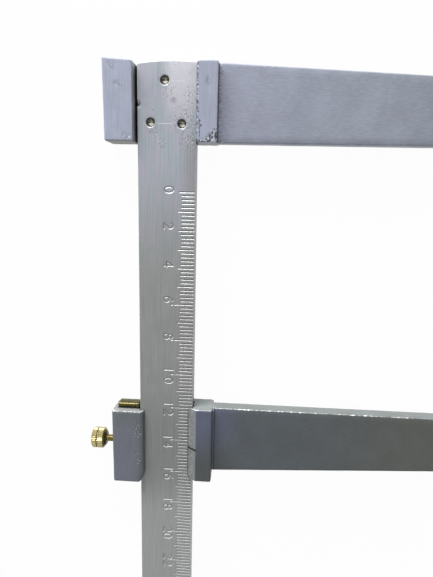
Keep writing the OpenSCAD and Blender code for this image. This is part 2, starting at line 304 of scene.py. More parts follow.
class Shell:
    """Points in millimetres, faces and a wear value per point, gathered part by part."""

    def __init__(self):
        self.points, self.faces, self.wear, self.count = [], [], [], 0

    def add(self, points, faces, wear=0.0):
        """One more part: its faces count from its own first point, and wear is one value or one per point."""
        points = np.asarray(points, float).reshape(-1, 3)
        self.faces += (np.asarray(faces) + self.count).tolist()
        self.points.append(points)
        self.wear.append(np.broadcast_to(np.asarray(wear, float).ravel(), len(points)))
        self.count += len(points)

    def build(self, name, sharp=35):
        """One welded mesh object with smooth faces and sharp edges above an angle."""
        mesh = bpy.data.meshes.new(name)
        mesh.from_pydata((np.concatenate(self.points) * MM).tolist(), [], self.faces)
        mesh.attributes.new("wear", "FLOAT", "POINT").data.foreach_set("value", np.concatenate(self.wear))
        work = bmesh.new()
        work.from_mesh(mesh)
        bmesh.ops.remove_doubles(work, verts=work.verts, dist=WELD)
        bmesh.ops.dissolve_degenerate(work, edges=work.edges, dist=WELD)
        bmesh.ops.recalc_face_normals(work, faces=work.faces)
        open_edges = sum(not edge.is_manifold for edge in work.edges)
        work.to_mesh(mesh)
        work.free()
        mesh.shade_smooth()
        mesh.set_sharp_from_angle(angle=np.radians(sharp))
        thing = bpy.data.objects.new(name, mesh)
        bpy.context.collection.objects.link(thing)
        print(name, len(mesh.vertices), "points,", len(mesh.polygons), "faces,", open_edges, "open edges")
        return thing


def roughen(thing, amount, size, edge_amount, edge_size, seed):
    """Sinks each point along its normal by a wandering depth, more at worn edges, and never outwards.

    The depth is amount * (1 + v) / 2 + edge_amount * wear * (1 + w) / 2, where v and w are two wandering
    values with waves of about size and edge_size, both held between -1 and 1.
    """
    mesh = thing.data
    count = len(mesh.vertices)
    place = np.empty(count * 3)
    mesh.vertices.foreach_get("co", place)
    place = place.reshape(-1, 3)
    normal = np.empty(count * 3, np.float32)
    mesh.vertex_normals.foreach_get("vector", normal)
    wear = np.empty(count)
    mesh.attributes["wear"].data.foreach_get("value", wear)
    broad = np.clip(wobble(place / MM, size, seed), -1, 1)
    fine = np.clip(wobble(place / MM, edge_size, seed + 1), -1, 1)
    depth = amount * (0.5 + 0.5 * broad)
    depth += edge_amount * (np.clip(wear, 0, None) * (0.5 + 0.5 * fine))
    mesh.vertices.foreach_set("co", (place - normal.reshape(-1, 3) * depth[:, None] * MM).ravel())
    mesh.update()


def carve(thing, *cutters):
    """Cuts other closed shells out of a piece exactly, then deletes them."""
    for cutter in cutters:
        cut = thing.modifiers.new("cut", "BOOLEAN")
        cut.operation = "DIFFERENCE"
        cut.solver = "EXACT"
        cut.object = cutter
    bpy.context.view_layer.update()
    evaluated = thing.evaluated_get(bpy.context.evaluated_depsgraph_get())
    made = bpy.data.meshes.new_from_object(evaluated)
    thing.modifiers.clear()
    thing.data = made
    for cutter in cutters:
        bpy.data.objects.remove(cutter)
    print("carved", thing.name, len(made.polygons), "faces")


def join(thing, *others):
    """Adds other shells to a piece. They overlap it, and each stays closed in itself."""
    work = bmesh.new()
    for part in (thing, *others):
        work.from_mesh(part.data)
    volume = work.calc_volume(signed=True) / MM ** 3
    work.to_mesh(thing.data)
    work.free()
    for other in others:
        bpy.data.objects.remove(other)
    print(thing.name, len(thing.data.polygons), "faces, signed volume", round(volume), "cubic mm")


def place_piece(thing, node, finish):
    """The piece stands for a CAD node, rides on that node's body and takes one finish."""
    thing.data.materials.clear()
    thing.data.materials.append(finish)
    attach(thing, NODE_BODY[node])
    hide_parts(node)


# %% [markdown]
# Finishes are node trees that read the object's own coordinates in metres, so grain and scratches keep
# their real scale and stay on the metal when it moves. Short helpers add a node, stretch a noise along
# one direction, and remap it. Numbers that are the same all over sit on the shader itself.

# %% Finish helpers
ACROSS = (1, 0, 0)
ALONG = (0, 1, 0)
DOWN = (0, -1, 0)
UPWARDS = (0, 0, 1)


def add(tree, kind, inputs=None, **settings):
    """One node, with its settings, and its inputs linked or set."""
    made = tree.nodes.new("ShaderNode" + kind)
    for key, value in settings.items():
        setattr(made, key, value)
    for key, value in (inputs or {}).items():
        if isinstance(value, bpy.types.NodeSocket):
            tree.links.new(value, made.inputs[key])
        else:
            made.inputs[key].default_value = value
    return made


def new_finish(name, colour, metallic, roughness):
    """A Principled material, with its tree, shader and Object coordinates."""
    material = bpy.data.materials.new(name)
    material.use_nodes = True
    tree = material.node_tree
    shader = tree.nodes["Principled BSDF"]
    shader.inputs["Base Color"].default_value = (*colour, 1)
    shader.inputs["Metallic"].default_value = metallic
    shader.inputs["Roughness"].default_value = roughness
    where = add(tree, "TexCoord").outputs["Object"]
    return material, tree, shader, where


def noise(tree, where, stretch, detail=3.0, roughness=0.55, move=(0, 0, 0)):
    """Noise whose cells are stretch (x, y, z) millimetres long, between 0 and 1."""
    scale = tuple(1 / (MM * s) for s in stretch)
    mapped = add(tree, "Mapping", {"Vector": where, "Scale": scale, "Location": move}).outputs["Vector"]
    inputs = {"Vector": mapped, "Scale": 1.0, "Detail": detail, "Roughness": roughness}
    return add(tree, "TexNoise", inputs).outputs["Fac"]


def remap(tree, value, low, high, to_low=0.0, to_high=1.0):
    """Value from low to high becomes to_low to to_high, smoothly and without going past them."""
    inputs = {"Value": value, "From Min": low, "From Max": high, "To Min": to_low, "To Max": to_high}
    return add(tree, "MapRange", inputs, interpolation_type="SMOOTHSTEP").outputs["Result"]


def sums(tree, operation, a, b):
    """One arithmetic step."""
    made = add(tree, "Math", operation=operation)
    for socket, value in zip(made.inputs, (a, b)):
        if isinstance(value, bpy.types.NodeSocket):
            tree.links.new(value, socket)
        else:
            socket.default_value = value
    return made.outputs[0]


def mix(tree, share, a, b):
    """Colour a where share is 0 and b where it is 1."""
    made = add(tree, "Mix", data_type="RGBA")
    for key, value in (("Factor", share), ("A", a), ("B", b)):
        socket = next(s for s in made.inputs if s.name == key and s.enabled)
        if isinstance(value, bpy.types.NodeSocket):
            tree.links.new(value, socket)
        elif key == "Factor":
            socket.default_value = value
        else:
            socket.default_value = (*value, 1)
    return next(s for s in made.outputs if s.enabled)


def spot(tree, where, centre_mm, radius_mm, soft_mm):
    """1 inside a ball round a place in millimetres, fading to 0 over a soft rim."""
    centre = tuple(c * MM for c in centre_mm)
    gap = add(tree, "VectorMath", {0: where, 1: centre}, operation="DISTANCE").outputs["Value"]
    return remap(tree, gap, radius_mm * MM, (radius_mm + soft_mm) * MM, 1.0, 0.0)


def slope(tree, where, axis, start_mm, end_mm):
    """0 to 1 between two places in millimetres along an axis."""
    along = add(tree, "VectorMath", {0: where, 1: axis}, operation="DOT_PRODUCT").outputs["Value"]
    return remap(tree, along, start_mm * MM, end_mm * MM)


def band(tree, where, axis, middle_mm, half_mm, soft_mm):
    """1 within half_mm of a plane across an axis, fading to 0 over a soft rim on both sides."""
    along = add(tree, "VectorMath", {0: where, 1: axis}, operation="DOT_PRODUCT").outputs["Value"]
    gap = sums(tree, "ABSOLUTE", sums(tree, "SUBTRACT", along, middle_mm * MM), 0.0)
    return remap(tree, gap, half_mm * MM, (half_mm + soft_mm) * MM, 1.0, 0.0)


def both(tree, *masks):
    """The product of masks: 1 where every mask is 1. A plain number among them is a share."""
    joint = masks[0]
    for mask in masks[1:]:
        joint = sums(tree, "MULTIPLY", joint, mask)
    return joint


def spots(tree, where, height_mm, places, joint=0.0):
    """1 in any of several spots at one height, each given as x, y, radius and soft rim in millimetres."""
    for x, y, radius, soft in places:
        joint = sums(tree, "MAXIMUM", joint, spot(tree, where, (x, y, height_mm), radius, soft))
    return joint


def lay(tree, tone, mask, colour, share=1.0):
    """Lays a colour over a tone where the mask is 1, at a share of its full strength."""
    if share < 1:
        mask = sums(tree, "MULTIPLY", mask, share)
    return mix(tree, mask, tone, colour)


def shaded(tree, tone, value):
    """The tone, made lighter or darker by a factor that may vary."""
    return add(tree, "HueSaturation", {"Color": tone, "Value": value}).outputs["Color"]


def mesh_value(tree, name):
    """The value that the mesh keeps for each of its points under a name."""
    return add(tree, "Attribute", attribute_name=name, attribute_type="GEOMETRY").outputs["Fac"]


def bump(tree, shader, heights):
    """Chains bump nodes: each height is a value from 0 to 1 and its depth in millimetres."""
    normal = None
    for height, depth in heights:
        inputs = {"Height": height, "Distance": depth * MM, "Strength": 1.0}
        if normal is not None:
            inputs["Normal"] = normal
        normal = add(tree, "Bump", inputs).outputs["Normal"]
    tree.links.new(normal, shader.inputs["Normal"])


def wire(tree, shader, **sockets):
    """Links colours and values to the shader, with spaces in socket names written as underscores."""
    for key, value in sockets.items():
        tree.links.new(value, shader.inputs[key.replace("_", " ")])


# %% [markdown]
# The beam is a rolled aluminium bar that was scraped and brushed along its length, then handled for
# years. Fine streaks run along it, broad stains drift across it, and dirt has settled round the
# screws. A bright line of bare metal follows its worn edges, and the engraved lines hold some dirt.
# The walls of the marks and digits that face the lamp, and the notch, are painted bright as highlights,
# and a painted shade darkens the beam where the sliding jaw stands.

# %% Beam finish
SCREW_NAMES = ("jaw_screw_upper", "jaw_screw_left", "jaw_screw_right", "stop_screw")
JAW_SCREWS = SCREW_NAMES[:3]
SCREWS = {name: sum(box_mm(name)) / 2 for name in SCREW_NAMES}
BEAM_BLUE = (0.345, 0.345, 0.405)
BEAM_SILVER = (0.315, 0.35, 0.385)
BEAM_GREY = (0.262, 0.266, 0.264)
BEAM_DULL = (0.243, 0.252, 0.25)
BEAM_HANDLED = (0.225, 0.213, 0.2)
PAINTED_SHADE_UNDER_SLIDER = (0.215, 0.225, 0.222)
BEAM_FOOT = (0.32, 0.328, 0.322)
BEAM_RUBBED = (0.545, 0.54, 0.585)
BEAM_BARE_AND_HIGHLIGHT = (0.72, 0.74, 0.75)
SMEAR = (0.2, 0.185, 0.22)
STAIN = (0.1, 0.09, 0.08)
GLINT = (0.6, 0.6, 0.61)
SPECK = (0.12, 0.115, 0.11)
KEEL = (0.07, 0.07, 0.07)
STAIN_SPOTS = [(9.5, -8.5, 3.0, 8.0), (2.0, 4.5, 1.5, 4.5), (13.0, 3.0, 1.5, 6.5), (-6.5, -14.0, 0.5, 4.5),
               (11.5, -18.5, 1.5, 6.0), (-3.0, -20.0, 0.2, 4.0), (12.5, 14.5, 0.3, 3.0)]
SCREW_GRIME = (2.9, 0.9)


def beam_tone(tree, where, blotches):
    """Colours along the beam: bluish at the head, then grey, duller along the scale, darker under the sliding
    jaw as painted shade, and paler below.
    """
    head = mix(tree, remap(tree, blotches, 0.42, 0.6), BEAM_BLUE, BEAM_SILVER)
    body = mix(tree, remap(tree, blotches, 0.35, 0.7), BEAM_GREY, BEAM_DULL)
    tone = mix(tree, slope(tree, where, DOWN, 20, 95), head, body)
    handled = both(tree, slope(tree, where, ACROSS, 5, 15), slope(tree, where, DOWN, 8, 26), 0.5)
    tone = lay(tree, tone, handled, BEAM_HANDLED)
    # Painted shade: the beam is darkened where the sliding jaw's lips shade it.
    tone = lay(tree, tone, slope(tree, where, DOWN, 150, 175), PAINTED_SHADE_UNDER_SLIDER)
    return lay(tree, tone, slope(tree, where, DOWN, 200, 235), BEAM_FOOT)


def beam_stains(tree, where, tone, speckle):
    """A rubbed pale patch, a smear, and dark and light flecks in the stains and round the screws."""
    top = BEAM_HIGH[2]
    rubbed = both(tree, spot(tree, where, (6.5, 12, top), 4, 23), slope(tree, where, ACROSS, -4, 3),
                  remap(tree, speckle, 0.3, 0.7, 0.6, 1.0))
    tone = lay(tree, tone, rubbed, BEAM_RUBBED)
    tone = lay(tree, tone, spot(tree, where, (3.4, 0.95, top), 0.5, 1.8), SMEAR, 0.5)
    stained = spots(tree, where, top, STAIN_SPOTS)
    for x, y, _ in SCREWS.values():
        rim = spot(tree, where, (x, y, top), *SCREW_GRIME)
        stained = sums(tree, "MAXIMUM", stained, both(tree, rim, 0.7))
    tone = lay(tree, tone, both(tree, stained, remap(tree, speckle, 0.56, 0.61, 0.0, 0.85)), STAIN)
    tone = lay(tree, tone, both(tree, stained, remap(tree, speckle, 0.41, 0.37, 0.0, 0.8)), GLINT)
    specks = noise(tree, where, (1.6, 2.2, 1.6), detail=3, roughness=0.7, move=(4, 4, 4))
    upper = sums(tree, "SUBTRACT", 1.0, slope(tree, where, DOWN, 60, 110))
    return lay(tree, tone, both(tree, remap(tree, specks, 0.68, 0.74, 0.0, 0.8), upper), SPECK)


def beam_finish():
    """Brushed metal: streaks and hairs over the tones, then stains, dark keels, bare worn edges and painted
    highlights.
    """
    material, tree, shader, where = new_finish("brushed_beam", (0.28, 0.29, 0.29), 0.35, 0.42)
    streaks = noise(tree, where, (0.35, 40, 0.35), detail=4)
    hairs = noise(tree, where, (0.12, 14, 0.12), detail=2)
    blotches = noise(tree, where, (7, 12, 7), detail=3, roughness=0.6)
    speckle = noise(tree, where, (0.75, 0.85, 0.75), detail=3, roughness=0.7)
    shine = both(tree, remap(tree, streaks, 0.25, 0.75, 0.86, 1.14), remap(tree, hairs, 0.3, 0.7, 0.93, 1.07))
    tone = shaded(tree, beam_tone(tree, where, blotches), shine)
    tone = beam_stains(tree, where, tone, speckle)
    wear = mesh_value(tree, "wear")
    tone = lay(tree, tone, remap(tree, wear, -0.9, -0.1, 0.55, 0.0), KEEL)
    ragged = sums(tree, "ADD", wear, remap(tree, speckle, 0.2, 0.8, -0.3, 0.3))
    # Bare metal on worn edges, and painted highlights on the groove walls that face the lamp and in the
    # notch.
    tone = lay(tree, tone, remap(tree, ragged, 0.55, 0.95), BEAM_BARE_AND_HIGHLIGHT, 0.85)
    wire(tree, shader, Base_Color=tone, Roughness=remap(tree, streaks, 0.25, 0.75, 0.36, 0.5))
    bump(tree, shader, [(streaks, 0.012), (hairs, 0.006), (blotches, 0.05)])
    return material


BEAM_FINISH = beam_finish()
print("finish", BEAM_FINISH.name, "has", len(BEAM_FINISH.node_tree.nodes), "nodes")

# %% [markdown]
# The numbers were stamped by hand. Each digit is a few strokes, drawn here as ellipse arcs and straight
# lines in a unit box, so no font is needed. The height of the metal round a digit is a function of the
# distance to its nearest stroke, worked out on a fine grid that is let into the face of the beam.

# %% Digits
DIGIT_TALL = 4.8
DIGIT_WIDE = 2.9
DIGIT_BASE = -1.3
DIGIT_PITCH = 5.2
UNEVEN_PITCH = {"10": 6.4, "20": 4.5, "22": 4.95}
FIRST_CENTRES = (1.04, 2.48, 1.95, 2.78, 1.86, 2.5, 2.0, 1.6, 1.3, 1.25, 0.74, 1.8)
STROKE_WIDTH = 1.0
STROKE_DEPTH = 0.3
PATCH_STEP = 0.19
PATCH_RIM = 0.75
MARK_ROOM = 0.7
LIT_SIDE = (0.34, -0.94)
LIT_SLOPE = 0.45


def arc(cx, cy, rx, ry, start, end, steps=12):
    """Points on an ellipse arc, with angles in degrees."""
    angle = np.radians(np.linspace(start, end, steps + 1))
    return np.stack([cx + rx * np.cos(angle), cy + ry * np.sin(angle)], 1)


def line(*points):
    """Points joined by straight strokes."""
    return np.array(points, float)


GLYPHS = {
    "0": [arc(0.5, 0.5, 0.5, 0.5, 0, 360, 24)],
    "1": [line((0.5, 0), (0.5, 1))],
    "2": [np.concatenate([arc(0.5, 0.72, 0.48, 0.28, 165, -40), line((0.02, 0.0), (1.0, 0.0))])],
    "3": [arc(0.45, 0.76, 0.43, 0.24, 150, -90), arc(0.45, 0.27, 0.5, 0.27, 90, -150)],
    "4": [line((0.72, 0.0), (0.72, 1.0), (0.0, 0.3), (1.0, 0.3))],
    "5": [np.concatenate([line((0.92, 1.0), (0.12, 1.0), (0.06, 0.55)),
                          arc(0.48, 0.32, 0.5, 0.32, 110, -150)])],
    "6": [arc(0.5, 0.3, 0.48, 0.3, 0, 360, 20), arc(0.85, 0.3, 0.83, 0.7, 180, 100)],
    "8": [arc(0.5, 0.77, 0.4, 0.23, 0, 360, 18), arc(0.5, 0.27, 0.5, 0.27, 0, 360, 20)],
}


def glyph_strokes(digit, base_x, left_y):
    """Start and end points of a digit's strokes on the beam: its top points to +x, and it reads along -y."""
    starts, ends = [], []
    for path in GLYPHS[digit]:
        placed = np.stack([base_x + path[:, 1] * DIGIT_TALL, left_y - path[:, 0] * DIGIT_WIDE], 1)
        starts.append(placed[:-1])
        ends.append(placed[1:])
    return np.concatenate(starts), np.concatenate(ends)


print("digits:", " ".join(GLYPHS))

# %% [markdown]
# The face of the beam is one flat Delaunay mesh round a rounded rim. Each mark is a V-shaped groove: a
# thin boat of eight points, with its keel below the face and a painted highlight on the wall that faces
# the lamp. Cutting 251 grooves with Booleans would be slow and leave slivers, and here the same mesh
# holds them all. Two scribed lines between the screws are boats with no depth. Screws sit in stepped holes.

# %% Beam shape
HEAD_RADIUS = 120
HEAD_SHIFT = 3
HEAD_POINTS = 25
RIGHT_POINTS = 160
LEFT_POINTS = 150
FOOT_POINTS = 9
NOTCH_POINTS = 13
NOTCH_Y = -1.0
NOTCH_RADIUS = 2.0
NOTCH_BOTTOM = 0.35
NOTCH_DEPTH = 1.9
BEAM_EDGE = 0.3
ZERO_Y = FIXED_LOW[1] - 24.6
MARK_PITCH = 2.0
MARK_COUNT = 251
MARKS_PER_LONG = 5
MARK_WIDTH = 0.9
MARK_DEPTH = 0.3
MARK_RIGHT = BEAM_HIGH[0] - BEAM_EDGE - 0.03
ZERO_MARK = 8.6
SHORT_MARK = 7.2
MARK_GROWTH = 1.4
GROWTH_MARKS = 100
CENTIMETRE_EXTRA = 1.5
NUMBERED_MARK = 12.4
LONG_MARK_FROM = 3 * 2 * MARKS_PER_LONG
USUAL_CENTRE = 1.6
SCRIBE_LINES = [((2.1, 9.8), (9.1, 9.85)), ((-4.5, -10.25), (2.7, -10.2))]
SCRIBE_HALF = 0.2
RIM_WEAR = np.array([0, 0.7, 1, 0.8, 0.4])
RECESS_WEAR = [0.0, 1.0, 0.6, -0.6, -0.6, 0.0]
RECESS_RADIUS = 2.3
RECESS_CHAMFER = 0.45
RECESS_DEPTH = 3.0
SHANK_HOLE_RADIUS = 1.55
HOLE_POINTS = 36


def beam_outline(notch_radius):
    """Anticlockwise outline of two long sides, a head filed to a shallow arc, and a round notch on the left.

    The head is y = top - R + sqrt(R^2 - (x - shift)^2), and the notch is half a circle.
    """
    x0, x1 = BEAM_LOW[0], BEAM_HIGH[0]
    y0, y1 = BEAM_LOW[1], BEAM_HIGH[1]
    foot = np.stack([np.linspace(x0, x1, FOOT_POINTS), np.full(FOOT_POINTS, y0)], 1)
    head_x = np.linspace(x1, x0, HEAD_POINTS)
    head_y = y1 - HEAD_RADIUS + np.sqrt(HEAD_RADIUS ** 2 - (head_x - HEAD_SHIFT) ** 2)
    head = np.stack([head_x, head_y], 1)
    right = np.stack([np.full(RIGHT_POINTS, x1), np.linspace(y0, head_y[0], RIGHT_POINTS)], 1)
    turn = np.radians(np.linspace(90, -90, NOTCH_POINTS))
    notch = np.stack([x0 + notch_radius * np.cos(turn), NOTCH_Y + notch_radius * np.sin(turn)], 1)
    left_y = np.linspace(NOTCH_Y - NOTCH_RADIUS - 1.5, y0, LEFT_POINTS)
    left = np.stack([np.full(LEFT_POINTS, x0), left_y], 1)
    return np.concatenate([foot[:-1], right[:-1], head, notch, left[:-1]])


def mitred_normals(ring):
    """Outward normals of an anticlockwise ring, made longer at corners so that both sides move alike."""
    ahead = np.roll(ring, -1, axis=0) - ring
    ahead /= np.linalg.norm(ahead, axis=1, keepdims=True)
    back = np.roll(ahead, 1, axis=0)
    a = np.stack([ahead[:, 1], -ahead[:, 0]], 1)
    b = np.stack([back[:, 1], -back[:, 0]], 1)
    both_sides = a + b
    return both_sides * (2 / (both_sides ** 2).sum(1, keepdims=True))


def circle(x, y, radius):
    """Points round a circle, anticlockwise."""
    turn = np.arange(HOLE_POINTS) * 2 * np.pi / HOLE_POINTS
    return np.stack([x + radius * np.cos(turn), y + radius * np.sin(turn)], 1)


def lift(flat, z):
    """Flat points at a height."""
    return np.column_stack([flat, np.broadcast_to(z, len(flat))])


def mark_length(i):
    """Short marks grow over the first 20 cm, centimetre marks are longer, and numbered ones longest."""
    if i == 0:
        return ZERO_MARK
    if i % (2 * MARKS_PER_LONG) == 0 and i >= LONG_MARK_FROM:
        return NUMBERED_MARK
    extra = CENTIMETRE_EXTRA if i % MARKS_PER_LONG == 0 else 0
    return SHORT_MARK + MARK_GROWTH * min(1, i / GROWTH_MARKS) + extra


def labels(rng):
    """For each number: its mark, its text, the mark's place, its first digit's middle and its digits' pitch.

    It makes them one at a time, so that its random draws and those of the patches take turns.
    """
    for k, i in enumerate(range(0, MARK_COUNT, 2 * MARKS_PER_LONG)):
        text = str(i // MARKS_PER_LONG)
        ahead = FIRST_CENTRES[k] if k < len(FIRST_CENTRES) else USUAL_CENTRE + rng.uniform(-0.5, 0.5)
        mark_y = ZERO_Y - i * MARK_PITCH
        yield i, text, mark_y, mark_y + ahead, UNEVEN_PITCH.get(text, DIGIT_PITCH)


def digit_patch(shell, label, rng):
    """Sinks one number into a fine grid, and returns the grid's rim for the face round it.

    With g the distance to the nearest stroke over half a stroke's width, the depth is D * (1 - g)^0.8. A
    wall that faces the lamp gets a high wear value, which paints it bright as a highlight, and the rest of
    the stroke a low one, for dirt.
    """
    i, text, mark_y, centre_y, pitch = label
    base_x = DIGIT_BASE + rng.uniform(-0.15, 0.15)
    left_y = centre_y + DIGIT_WIDE / 2
    strokes = [glyph_strokes(digit, base_x + rng.uniform(-0.12, 0.12), left_y - k * pitch)
               for k, digit in enumerate(text)]
    starts = np.concatenate([begun for begun, _ in strokes])
    ends = np.concatenate([ended for _, ended in strokes])
    every = np.concatenate([starts, ends])
    low, high = every.min(0) - PATCH_RIM, every.max(0) + PATCH_RIM
    if i >= LONG_MARK_FROM:
        low[1], high[1] = min(low[1], mark_y - MARK_ROOM), max(high[1], mark_y + MARK_ROOM)
        starts = np.vstack([starts, (BEAM_HIGH[0] - mark_length(i), mark_y)])
        ends = np.vstack([ends, (high[0] - PATCH_RIM, mark_y)])
    nx, ny = np.ceil((high - low) / PATCH_STEP).astype(int) + 1
    x_line, y_line = np.linspace(low[0], high[0], nx), np.linspace(low[1], high[1], ny)
    x, y = np.meshgrid(x_line, y_line, indexing="ij")
    flat = np.stack([x.ravel(), y.ravel()], 1)
    gap = distance_to(flat, starts, ends) / (STROKE_WIDTH / 2)
    sunk = np.clip(1 - gap, 0, 1) ** 0.8
    depth = STROKE_DEPTH * rng.uniform(0.85, 1.1) * sunk
    rise_x, rise_y = np.gradient(-depth.reshape(nx, ny), PATCH_STEP)
    lit = np.clip((LIT_SIDE[0] * rise_x + LIT_SIDE[1] * rise_y).ravel() / LIT_SLOPE, 0, 1)
    points = lift(flat, BEAM_HIGH[2] - depth)
    order = np.arange(nx * ny).reshape(nx, ny)
    quads = np.stack([order[:-1, :-1], order[1:, :-1], order[1:, 1:], order[:-1, 1:]], -1).reshape(-1, 4)
    # Painted highlight: the wall that faces the lamp turns bright, and the rest of the stroke is dark with
    # dirt.
    shell.add(points, quads, 1.2 * lit - 0.8 * sunk * (1 - lit))
    rim = np.concatenate([order[:-1, 0], order[-1, :-1], order[:0:-1, -1], order[0, :0:-1]])
    return flat[rim]


BOAT_LINKS = np.array([(0, 1), (1, 2), (2, 3), (3, 0), (4, 5), (6, 7), (0, 6), (6, 4), (4, 3),
                       (1, 7), (7, 5), (5, 2)])
BOAT_DEPTH = np.array([0, 0, 0, 0, 1, 1, 0.35, 0.35])
# The keel is dark with dirt, and the line beside it is a painted highlight on the wall that faces the lamp.
BOAT_DIRT_AND_HIGHLIGHT = np.array([0, 0, 0, 0, -1, -1, 1.3, 1.3])


def boat(start, end, half):
    """Eight points: a thin rectangle round a line, then the ends of its keel and those of a painted
    highlight.

    The keel is the line itself, drawn in a little at both ends, and the highlight lies beside it, on the
    wall that faces the lamp.
    """
    start, end = np.asarray(start, float), np.asarray(end, float)
    ahead = (end - start) / np.linalg.norm(end - start)
    side = half * np.array([-ahead[1], ahead[0]])
    inset = min(half, 0.2) * ahead
    return np.array([start - side, end - side, end + side, start + side, start + inset, end - inset,
                     start + inset / 2 - 0.65 * side, end - inset / 2 - 0.65 * side])


def beam():
    """Rings of the outline, rolled in by a quarter circle at both faces, and two filled faces with holes.

    A ring is the outline moved inwards by r * (1 - sin a), at r * (1 - cos a) from the face.
    """
    shell = Shell()
    rng = np.random.default_rng(7)
    top, bottom = BEAM_HIGH[2], BEAM_LOW[2]
    angle = np.radians(np.linspace(0, 90, 5))
    inset = BEAM_EDGE * (1 - np.sin(angle))
    drop = BEAM_EDGE * (1 - np.cos(angle))
    depth = np.linspace(BEAM_EDGE, NOTCH_DEPTH, 6)[1:]
    insets = np.concatenate([inset, 0 * depth, inset[::-1]])
    heights = np.concatenate([top - drop, top - depth, bottom + drop[::-1]])
    notch = np.interp(top - heights, [BEAM_EDGE, NOTCH_DEPTH], [NOTCH_RADIUS, NOTCH_BOTTOM])
    rows = []
    for i, z, radius in zip(insets, heights, notch):
        ring = beam_outline(radius)
        rows.append(lift(ring - mitred_normals(ring) * i, z))
    row_wear = np.concatenate([RIM_WEAR, 0 * depth, RIM_WEAR[::-1]])
    wear = np.repeat(row_wear[:, None], len(ring), 1)
    # Painted highlight: the notch's upper walls get a high value and turn bright, though the cheek shades
    # them.
    in_notch = np.linalg.norm(ring - (BEAM_LOW[0], NOTCH_Y), axis=1) < NOTCH_RADIUS
    upper = np.arange(len(rows)) < 2 * len(depth)
    wear = np.where(in_notch & upper[:, None], 1.3, wear)
    shell.add(np.concatenate(rows), ring_faces(len(rows), len(ring))[:, ::-1], wear)

    face = rows[0][:, :2]
    points, edges = [face], [ring_edges(len(face))]
    sunk, worn = [0 * face[:, 0]], [0 * face[:, 0]]
    count = len(face)

    def put(flat, links, z=0.0, wear_value=0.0):
        """Adds points to the upper face, with their edges, their depth and their wear."""
        nonlocal count
        points.append(flat)
        edges.append(links + count)
        sunk.append(np.broadcast_to(z, len(flat)))
        worn.append(np.broadcast_to(wear_value, len(flat)))
        count += len(flat)

    patches = [digit_patch(shell, label, rng) for label in labels(rng)]
    for rim in patches:
        put(rim, ring_edges(len(rim)))
    for i in range(MARK_COUNT):
        x0 = BEAM_HIGH[0] - mark_length(i) + rng.uniform(-0.15, 0.15)
        if i >= LONG_MARK_FROM and i % (2 * MARKS_PER_LONG) == 0:
            x0 = patches[i // (2 * MARKS_PER_LONG)][:, 0].max() + 0.04
        y = ZERO_Y - i * MARK_PITCH + rng.uniform(-0.06, 0.06)
        groove = boat((x0, y), (MARK_RIGHT, y), MARK_WIDTH / 2 * rng.uniform(0.85, 1.1))
        put(groove, BOAT_LINKS, MARK_DEPTH * BOAT_DEPTH, BOAT_DIRT_AND_HIGHLIGHT)
    for start, end in SCRIBE_LINES:
        put(boat(start, end, SCRIBE_HALF), BOAT_LINKS, 0.0, 1.2 * (BOAT_DEPTH > 0))
    holes = []
    for x, y, _ in SCREWS.values():
        mouth = circle(x, y, RECESS_RADIUS + RECESS_CHAMFER)
        mouth += (mouth - (x, y)) * rng.uniform(-0.04, 0.04, (HOLE_POINTS, 1))
        holes.append(mouth)
        put(mouth, ring_edges(HOLE_POINTS))
        lip = mouth - (mouth - (x, y)) * 0.03
        lower = [(RECESS_RADIUS, top - RECESS_CHAMFER), (RECESS_RADIUS, top - RECESS_DEPTH),
                 (SHANK_HOLE_RADIUS, top - RECESS_DEPTH), (SHANK_HOLE_RADIUS, bottom)]
        rows = [lift(mouth, top), lift(lip, top - 0.05)] + [lift(circle(x, y, r), z) for r, z in lower]
        wear = np.repeat(RECESS_WEAR, HOLE_POINTS)
        shell.add(np.concatenate(rows), ring_faces(len(rows), HOLE_POINTS), wear)
    every = np.concatenate(points)
    faces = fill(every, np.concatenate(edges), face, holes + patches)
    shell.add(lift(every, top - np.concatenate(sunk)), faces, np.concatenate(worn))

    last = beam_outline(NOTCH_BOTTOM)
    face = last - mitred_normals(last) * BEAM_EDGE
    back = [circle(x, y, SHANK_HOLE_RADIUS) for x, y, _ in SCREWS.values()]
    every = np.concatenate([face] + back)
    edges = [ring_edges(len(face))]
    edges += [ring_edges(HOLE_POINTS, len(face) + k * HOLE_POINTS) for k in range(len(back))]
    faces = fill(every, np.concatenate(edges), face, back)
    shell.add(lift(every, bottom), faces[:, ::-1], 0.0)
    return shell.build("beam_bar", sharp=28)


BEAM = beam()
place_piece(BEAM, "beam", BEAM_FINISH)

# %% [markdown]
# Both jaws are aluminium castings, filed where they fit the beam and brushed with a silvery blue-grey
# paint. The paint keeps the texture of the sand mould, shows the strokes of the brush along the cheek,
# and has worn through to bare metal on the corners. The wear value of the mesh says where. Its highest
# values are polished nearly white, partly as painted highlights, and its lowest are dark, partly as
# painted shade.

# %% Casting paint
DIRT_AND_PAINTED_SHADE = (0.012, 0.012, 0.012)
POLISH_AND_HIGHLIGHT = (0.8, 0.82, 0.82)
PALE_FLAKE = (0.75, 0.78, 0.85)
DARK_PIT = (0.015, 0.015, 0.02)
GREEN_PIT = (0.12, 0.122, 0.095)
BARE_FROM = 0.8
POLISH_AND_HIGHLIGHT_FROM = 1.1


def steps(tree, where, axis, places):
    """Colours that follow each other along an axis, each with the places where it starts and is full."""
    tone = places[0][0]
    for colour, start, full in places[1:]:
        tone = mix(tree, slope(tree, where, axis, start, full), tone, colour)
    return tone


